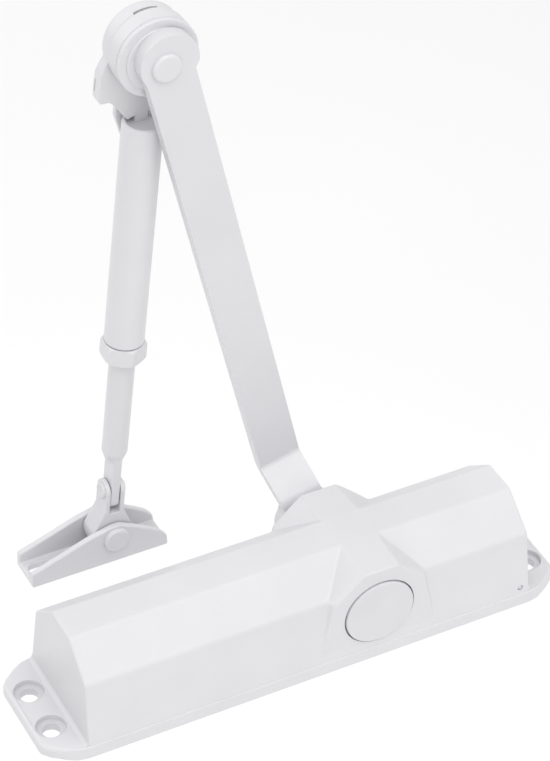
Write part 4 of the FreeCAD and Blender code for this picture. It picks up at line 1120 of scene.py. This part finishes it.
@dataclass
class Forearm:
    """Knuckle, tube, lock nut and sliding rod, drawn from the elbow along -Z."""

    elbow: Triple
    tilt: float = 4.985
    depth: float = 57.5
    tube_radius: float = 7.15
    tube_bore: float = 5.2
    tube_top: float = 28.2
    tube_end: float = 118.9
    ear: tuple[Pair, ...] = (
        (-13.2, 2.0), (-14.2, -2.5), (-15.7, -4.8), (-17.0, -7.3), (-17.6, -11.3), (-18.1, -16.6),
        (-17.2, -18.6), (-14.0, -18.8), (-11.7, -20.6), (-10.0, -23.6), (-7.5, -27.4), (-0.1, -24.9),
        (7.0, -18.0), (11.0, -8.0))

    knuckle_front: float = 58.7
    knuckle_back: float = 65.5
    knuckle_radius: float = 13.9
    knuckle_cavity: float = 12.4
    knuckle_floor: float = 63.9
    ear_back: float = 63.4
    nut_low: float = -126.2
    nut_high: float = -119.2
    nut_bore: float = 4.8
    nut_flat: float = 7.2
    nut_turn: float = 28.4
    rod_radius: float = 4.7
    rod_shoulder: float = -168.7
    rod_neck: float = -172.1
    rod_end: float = -193.4
    tongue_half: float = 1.7
    tongue_breadth: float = 3.7
    tongue_corner: float = 2.6
    pin_hole: float = 2.55
    pin_at: float = 186.5

    @property
    def place(self) -> Place:
        """Frame of the forearm."""
        return Place((self.elbow[0], 0, self.elbow[2]), self.tilt)

    def knuckle(self, shop: Workshop) -> None:
        """Cup with an arc window and an ear, whose neck ends in a plug inside the tube."""
        front, back, floor = self.knuckle_front, self.knuckle_back, self.knuckle_floor
        radius, cavity = self.knuckle_radius, self.knuckle_cavity
        rim = arc((radius - 2.0, back - 2.0), 2.0, 0, 90, 7)
        profile = [(4.05, floor), (cavity, floor), (cavity, front + 0.25), (cavity + 0.25, front)]
        profile += [(radius - 0.35, front), (radius, front + 0.35)] + rim + [(4.05, back)]
        cup = Bench.turned("knuckle", profile, "Y", hollow=True, steps=FINE_STEPS)
        turn = math.radians(self.tilt)
        cos, sin = math.cos(turn), math.sin(turn)
        outline = [(x * cos - z * sin, x * sin + z * cos) for x, z in self.ear]
        ear = Bench.prism_y("ear", outline, front, self.ear_back)
        Bench.soften_where(ear, 0.7, lambda p: p.z < -14 and p.x < -8, segments=4, sharper=15)
        Bench.soften_where(ear, 0.45, lambda p: p.x < 6, segments=3, sharper=60)
        hole = Bench.rod(cavity, (0, 50, 0), (0, floor, 0), FINE_STEPS)
        Bench.combine(ear, hole, Cut.TAKE_AWAY)
        Bench.combine(cup, ear, Cut.JOIN)
        tail = Bench.box("tail", (-2.3, front + 0.1, -self.tube_top - 4), (2.3, front + 2.7, -17.0))
        Bench.combine(cup, tail, Cut.JOIN)
        plug = Bench.rod(self.tube_bore - 0.02, (0, self.depth, -self.tube_top - 15),
                         (0, self.depth, -self.tube_top - 1))
        Bench.combine(cup, plug, Cut.JOIN)
        window = Bench.prism_y("window", [(0.0, 0.0), (-11.0, 24.0), (5.0, 24.0)], front - 1, front + 1.4)
        Bench.combine(cup, window, Cut.TAKE_AWAY)
        slit = Bench.box("slit", (-20.0, 61.6, -16.0), (-16.2, 62.3, -11.5))
        Bench.combine(cup, slit, Cut.TAKE_AWAY)
        shop.deliver(cup, "elbow_knuckle", Body.FOREARM, Finish.ARM, self.place, angle=28)

    def tube(self, shop: Workshop) -> None:
        """Tube with a rolled mouth, and the flattened lip that runs up behind the ear."""
        r, b, top, end = self.tube_radius, self.tube_bore, -self.tube_top, -self.tube_end
        mouth = arc((r - 1.1, top - 1.1), 1.1, 0, 90, 8)
        profile = [(b, end), (r - 0.3, end), (r, end + 0.3)] + mouth + [(b + 0.6, top - 0.1), (b, top - 0.6)]
        tube = Bench.turned("tube", profile, "Z", (0, self.depth, 0), hollow=True, steps=FINE_STEPS)
        half, crown = r + 0.1, -18.7
        left, right, foot = (-half, -self.tube_top - 1), (half, -self.tube_top - 1), -38.0
        side = [left, (-4.0, foot), (4.0, foot), right]
        side += rounded((half, crown), right, (-half, crown), 3.2)
        side += rounded((-half, crown), (half, crown), left, 3.2)
        lip = Bench.prism_y("lip", side, 63.7, 66.0)
        Bench.soften(lip, 0.5, segments=3, angle=50)
        Bench.combine(tube, lip, Cut.JOIN)
        shop.deliver(tube, "forearm_tube", Body.FOREARM, Finish.ARM, self.place, angle=28)

    def nut(self, shop: Workshop) -> None:
        """Lock nut with turned chamfers on both ends."""
        low, high, bore = self.nut_low, self.nut_high, self.nut_bore
        half = self.nut_flat / FLAT_TO_CORNER
        corners = [math.radians(60 * i + self.nut_turn) for i in range(6)]
        outline = [(half * math.cos(a), self.depth + half * math.sin(a), low) for a in corners]
        nut = Bench.prism("nut", outline, (0, 0, high - low))
        profile = [(0.0, low), (half - 1.0, low), (half + 0.2, low + 0.8), (half + 0.2, high - 0.8),
                   (half - 1.0, high), (0.0, high)]
        cone = Bench.turned("cone", profile, "Z", (0, self.depth, 0), steps=FINE_STEPS)
        Bench.combine(nut, cone, Cut.KEEP_COMMON)
        Bench.soften(nut, 0.22, segments=2, angle=25)
        profile = [(0.0, low - 1), (bore + 0.9, low - 1), (bore + 0.9, low + 0.05), (bore, low + 0.9),
                   (bore, high - 0.9), (bore + 0.9, high - 0.05), (bore + 0.9, high + 1), (0.0, high + 1)]
        hole = Bench.turned("hole", profile, "Z", (0, self.depth, 0))
        Bench.combine(nut, hole, Cut.TAKE_AWAY)
        shop.deliver(nut, "lock_nut", Body.LOCK_NUT, Finish.ARM, self.place, angle=24)

    def rod(self, shop: Workshop) -> None:
        """Sliding rod, necked down to a flat tongue with a pin hole."""
        r, shoulder, neck, end = self.rod_radius, self.rod_shoulder, self.rod_neck, self.rod_end
        profile = [(0.0, -64.2), (4.1, -64.2), (r, -64.8), (r, shoulder + 0.4), (4.55, shoulder - 0.2),
                   (3.9, shoulder - 1.9), (3.4, neck), (0.0, neck)]
        rod = Bench.turned("rod", profile, "Z", (0, self.depth, 0), steps=64)
        half, breadth, corner = self.tongue_half, self.tongue_breadth, self.tongue_corner
        side = [(-breadth, shoulder - 1.2), (breadth, shoulder - 1.2)]
        side += arc((breadth - corner, end + corner), corner, 0, -90, 6)
        side += arc((corner - breadth, end + corner), corner, -90, -180, 6)
        tongue = Bench.prism("tongue", [(-half, self.depth + y, z) for y, z in side], (2 * half, 0, 0))
        Bench.soften(tongue, 0.35, segments=2, angle=40)
        Bench.combine(rod, tongue, Cut.JOIN)
        hole = Bench.rod(self.pin_hole, (-6, self.depth, -self.pin_at), (6, self.depth, -self.pin_at), 40)
        Bench.combine(rod, hole, Cut.TAKE_AWAY)
        shop.deliver(rod, "forearm_rod", Body.ROD, Finish.ARM, self.place)

    def build(self, shop: Workshop) -> None:
        """Model and deliver the forearm's pieces."""
        self.knuckle(shop)
        self.tube(shop)
        self.nut(shop)
        self.rod(shop)


@dataclass
class FrameShoe:
    """Fork, pin, U-shaped shoe and rivet at the forearm's far end."""

    elbow: Triple
    tilt: float = 4.985
    depth: float = 57.5
    pin_at: float = 186.5
    pivot_at: float = 204.97
    side: tuple[Pair, ...] = (
        (-76.5, 11.8), (-76.4, 18.2), (-63.7, 22.7), (-53.8, 26.4), (-48.7, 27.7), (-44.6, 28.8),
        (-41.2, 28.8), (-36.7, 26.5), (-29.5, 22.3), (-25.0, 19.2), (-22.4, 16.2), (-22.1, 11.8))
    half_width: float = 7.3
    wall: float = 2.5
    base: float = 2.3
    slot_x: tuple[float, ...] = (-70.5, -30.5)
    slot_reach: float = 2.2
    slot_half: float = 2.3
    lobe_radius: float = 8.0
    fork_outer: float = 3.7
    fork_half: float = 4.3
    fork_gap: float = 2.0
    gap_floor: float = -195.1
    rivet_proud: float = 1.7
    tail_proud: float = 1.5

    @property
    def place(self) -> Place:
        """Frame of the forearm, which the fork is drawn in."""
        return Place((self.elbow[0], 0, self.elbow[2]), self.tilt)

    @property
    def pivot(self) -> Pair:
        """Place (x, z) of the shoe's pivot."""
        turn = math.radians(self.tilt)
        return self.elbow[0] - self.pivot_at * math.sin(turn), self.elbow[2] - self.pivot_at * math.cos(turn)

    def fork(self, shop: Workshop) -> None:
        """Two ears over a round lobe."""
        outer, half, gap_half = self.fork_outer, self.fork_half, self.fork_gap
        low, high = self.depth - half, self.depth + half
        top = -self.pin_at + half
        outline = arc((0, -self.pivot_at), self.lobe_radius, 163, 377, 40)
        outline += [(outer, -194.2), (outer, top), (-outer, top), (-outer, -194.2)]
        lobe = Bench.prism_y("fork", outline, low, high)
        crown = arc((self.depth, -self.pin_at), half, 0, 180, 24)
        crown += [(low, -self.pivot_at - 20), (high, -self.pivot_at - 20)]
        side = Bench.prism("crown", [(-20.0, y, z) for y, z in crown], (40, 0, 0))
        Bench.combine(lobe, side, Cut.KEEP_COMMON)
        gap = Bench.box("gap", (-gap_half, low - 1, self.gap_floor), (gap_half, high + 1, -150.0))
        Bench.combine(lobe, gap, Cut.TAKE_AWAY)
        Bench.clean(lobe)
        Bench.soften(lobe, 0.4, segments=3, angle=35)
        for radius, start, end in ((2.5, (-10, self.depth, -self.pin_at), (10, self.depth, -self.pin_at)),
                                   (3.05, (0, 40, -self.pivot_at), (0, 80, -self.pivot_at))):
            Bench.combine(lobe, Bench.rod(radius, start, end, 48), Cut.TAKE_AWAY)
        shop.deliver(lobe, "shoe_fork", Body.FORK, Finish.ARM, self.place, angle=28)

    def pin(self, shop: Workshop) -> None:
        """Pin with a low dished head on one side and a riveted end on the other."""
        outer = self.fork_outer
        profile = [(0.0, -outer - 0.62), (1.7, -outer - 0.66), (2.1, -outer - 0.88), (2.6, -outer - 0.88),
                   (3.0, -outer - 0.6), (3.1, -outer), (2.45, -outer), (2.45, outer),
                   (3.3, outer), (3.1, outer + 0.4), (2.5, outer + 0.88), (0.0, outer + 0.88)]
        pin = Bench.turned("pin", profile, "X", (0, self.depth, -self.pin_at), steps=48)
        shop.deliver(pin, "fork_pin", Body.FORK, Finish.ARM, self.place)

    def shoe(self, shop: Workshop) -> None:
        """U channel with sloping walls and two slots."""
        near, far = self.depth - self.half_width, self.depth + self.half_width
        low = self.side[0][1] + self.base
        shoe = Bench.prism_y("shoe", list(self.side), near, far)
        channel = Bench.box("channel", (-90, near + self.wall, low), (0, far - self.wall, 60.0))
        Bench.combine(shoe, channel, Cut.TAKE_AWAY)
        Bench.clean(shoe)
        Bench.soften(shoe, 0.7, segments=4, angle=30)
        for x in self.slot_x:
            reach, half = self.slot_reach, self.slot_half
            slot = Bench.box("slot", (x - reach, self.depth - half, 0),
                             (x + reach, self.depth + half, low + 1))
            for end in (x - reach, x + reach):
                round_end = Bench.rod(half, (end, self.depth, 0), (end, self.depth, low + 1), 40)
                Bench.combine(slot, round_end, Cut.JOIN)
            Bench.combine(shoe, slot, Cut.TAKE_AWAY)
        px, pz = self.pivot
        Bench.combine(shoe, Bench.rod(3.0, (px, 40, pz), (px, 80, pz), 48), Cut.TAKE_AWAY)
        shop.deliver(shoe, "shoe", Body.SHOE, Finish.ARM, angle=28)

    def rivet(self, shop: Workshop) -> None:
        """Shoe rivet with low rounded heads."""
        near, far = self.depth - self.half_width, self.depth + self.half_width
        head = list(reversed(arc((3.9, near - self.rivet_proud + 1.1), 1.1, 0, -90, 6)))
        tail = arc((4.0, far + self.tail_proud - 1.0), 1.0, 0, 90, 5)
        profile = [(0.0, near - self.rivet_proud)] + head
        profile += [(5.0, near), (2.95, near), (2.95, far), (5.0, far)] + tail
        profile += [(0.0, far + self.tail_proud)]
        px, pz = self.pivot
        rivet = Bench.turned("rivet", profile, "Y", (px, 0, pz), steps=64)
        shop.deliver(rivet, "shoe_rivet", Body.SHOE, Finish.ARM)

    def build(self, shop: Workshop) -> None:
        """Model and deliver the shoe's pieces."""
        self.fork(shop)
        self.pin(shop)
        self.shoe(shop)
        self.rivet(shop)


@dataclass(frozen=True)
class InnerWorks:
    """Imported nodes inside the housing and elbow, which keep their own shape."""

    finishes: tuple[tuple[str, Finish], ...] = (
        ("plug_seal", Finish.RUBBER), ("pinion_seal_near", Finish.RUBBER), ("pinion_seal_far", Finish.RUBBER),
        ("valve_seals", Finish.RUBBER), ("pinion_bush_near", Finish.BRONZE),
        ("pinion_bush_far", Finish.BRONZE), ("pinion", Finish.HARD),
        ("rack_piston", Finish.IRON), ("check_ball", Finish.HARD),
        ("check_seat", Finish.BRASS), ("spring_seat", Finish.HARD), ("closing_spring", Finish.SPRING),
        ("detent_plate", Finish.HARD), ("detent_ball", Finish.HARD), ("wave_spring", Finish.SPRING))

    def build(self, shop: Workshop) -> None:
        """Dress each node."""
        for node, finish in self.finishes:
            shop.wardrobe.dress_node(node, finish)
            LOG.info("%-22s dressed as %s", node, finish.value)


# ---- Studio ---------------------------------------------------------------------------------
@dataclass
class Studio:
    """Pale floor, soft light and the camera."""

    floor_z: float = -0.50
    floor_size: float = 12.0
    lens: float = 147.03
    eye: Triple = (-0.38967, -0.70818, 0.79175)
    right: Triple = (0.88778, -0.45981, 0.02075)
    up: Triple = (0.27990, 0.57510, 0.76872)
    shift: Pair = (0.0029, -0.0011)
    sky: float = 0.80

    def floor(self) -> None:
        """Large plain floor, gently uneven in tone."""
        Bench.clear()
        bpy.ops.mesh.primitive_plane_add(size=self.floor_size, location=(0, 0, self.floor_z))
        floor = Bench.named("studio_floor")
        Bench.settle(floor)
        recipe = Recipe("studio floor paper")
        tone = recipe.span(recipe.noise(recipe.coordinates.outputs["Object"], 2.0), 0.0, 1.0)
        colour = recipe.blend(tone, (0.93, 0.93, 0.93), (0.95, 0.95, 0.95))
        recipe.join(colour, recipe.shader.inputs["Base Color"])
        recipe.set(Roughness=0.9)
        floor.data.materials.append(recipe.material)

    def world(self) -> None:
        """White surround."""
        world = bpy.data.worlds.new("studio")
        world.use_nodes = True
        world.node_tree.nodes["Background"].inputs["Color"].default_value = (1.0, 1.0, 1.0, 1.0)
        world.node_tree.nodes["Background"].inputs["Strength"].default_value = self.sky
        bpy.context.scene.world = world

    def lamp(self, name: str, place: Triple, target: Triple, size: float, power: float) -> None:
        """Soft square lamp aimed at a point."""
        Bench.clear()
        aim = (Vector(target) - Vector(place)).to_track_quat("-Z", "Y").to_euler()
        bpy.ops.object.light_add(type="AREA", location=place, rotation=aim)
        lamp = bpy.context.active_object
        lamp.name = name
        lamp.data.size = size
        lamp.data.energy = power

    def camera(self) -> None:
        """Camera at the viewing angle."""
        right, up = Vector(self.right).normalized(), Vector(self.up).normalized()
        back = right.cross(up)
        bpy.ops.object.camera_add(location=self.eye)
        camera = bpy.context.active_object
        camera.name = "studio_camera"
        turn = Matrix((right, up, back)).transposed().to_4x4()
        camera.matrix_world = Matrix.Translation(self.eye) @ turn
        camera.data.lens = self.lens
        camera.data.sensor_width = 36.0
        camera.data.shift_x, camera.data.shift_y = self.shift
        bpy.context.scene.camera = camera

    def build(self) -> None:
        """Set up floor, light and camera."""
        self.floor()
        self.world()
        middle = (0.0, 0.03, 0.08)
        self.lamp("overhead", (-0.10, -0.45, 1.50), middle, 1.0, 7.6)
        self.lamp("right", (0.80, -0.80, 1.00), middle, 1.0, 2.0)
        self.lamp("front", (-0.25, -1.80, 0.30), middle, 1.2, 4.0)
        self.lamp("left", (-1.40, -0.10, 0.80), middle, 1.0, 2.0)
        self.lamp("floor wash", (-0.90, 1.60, 0.90), (0.35, 0.70, self.floor_z), 1.5, 6.5)
        self.camera()
        bpy.context.scene.view_settings.view_transform = "Standard"


def main() -> None:
    """Build the studio and every sub-assembly, in order."""
    logging.basicConfig(level=logging.INFO, format="%(name)s: %(message)s")
    Studio().build()
    shop = Workshop()
    Housing().build(shop)
    CaseFittings().build(shop)
    arm = MainArm()
    forearm = Forearm(elbow=arm.elbow)
    arm.build(shop, forearm.tilt)
    forearm.build(shop)
    FrameShoe(elbow=arm.elbow).build(shop)
    InnerWorks().build(shop)
    Bench.clear()


if __name__ == "__main__":
    main()
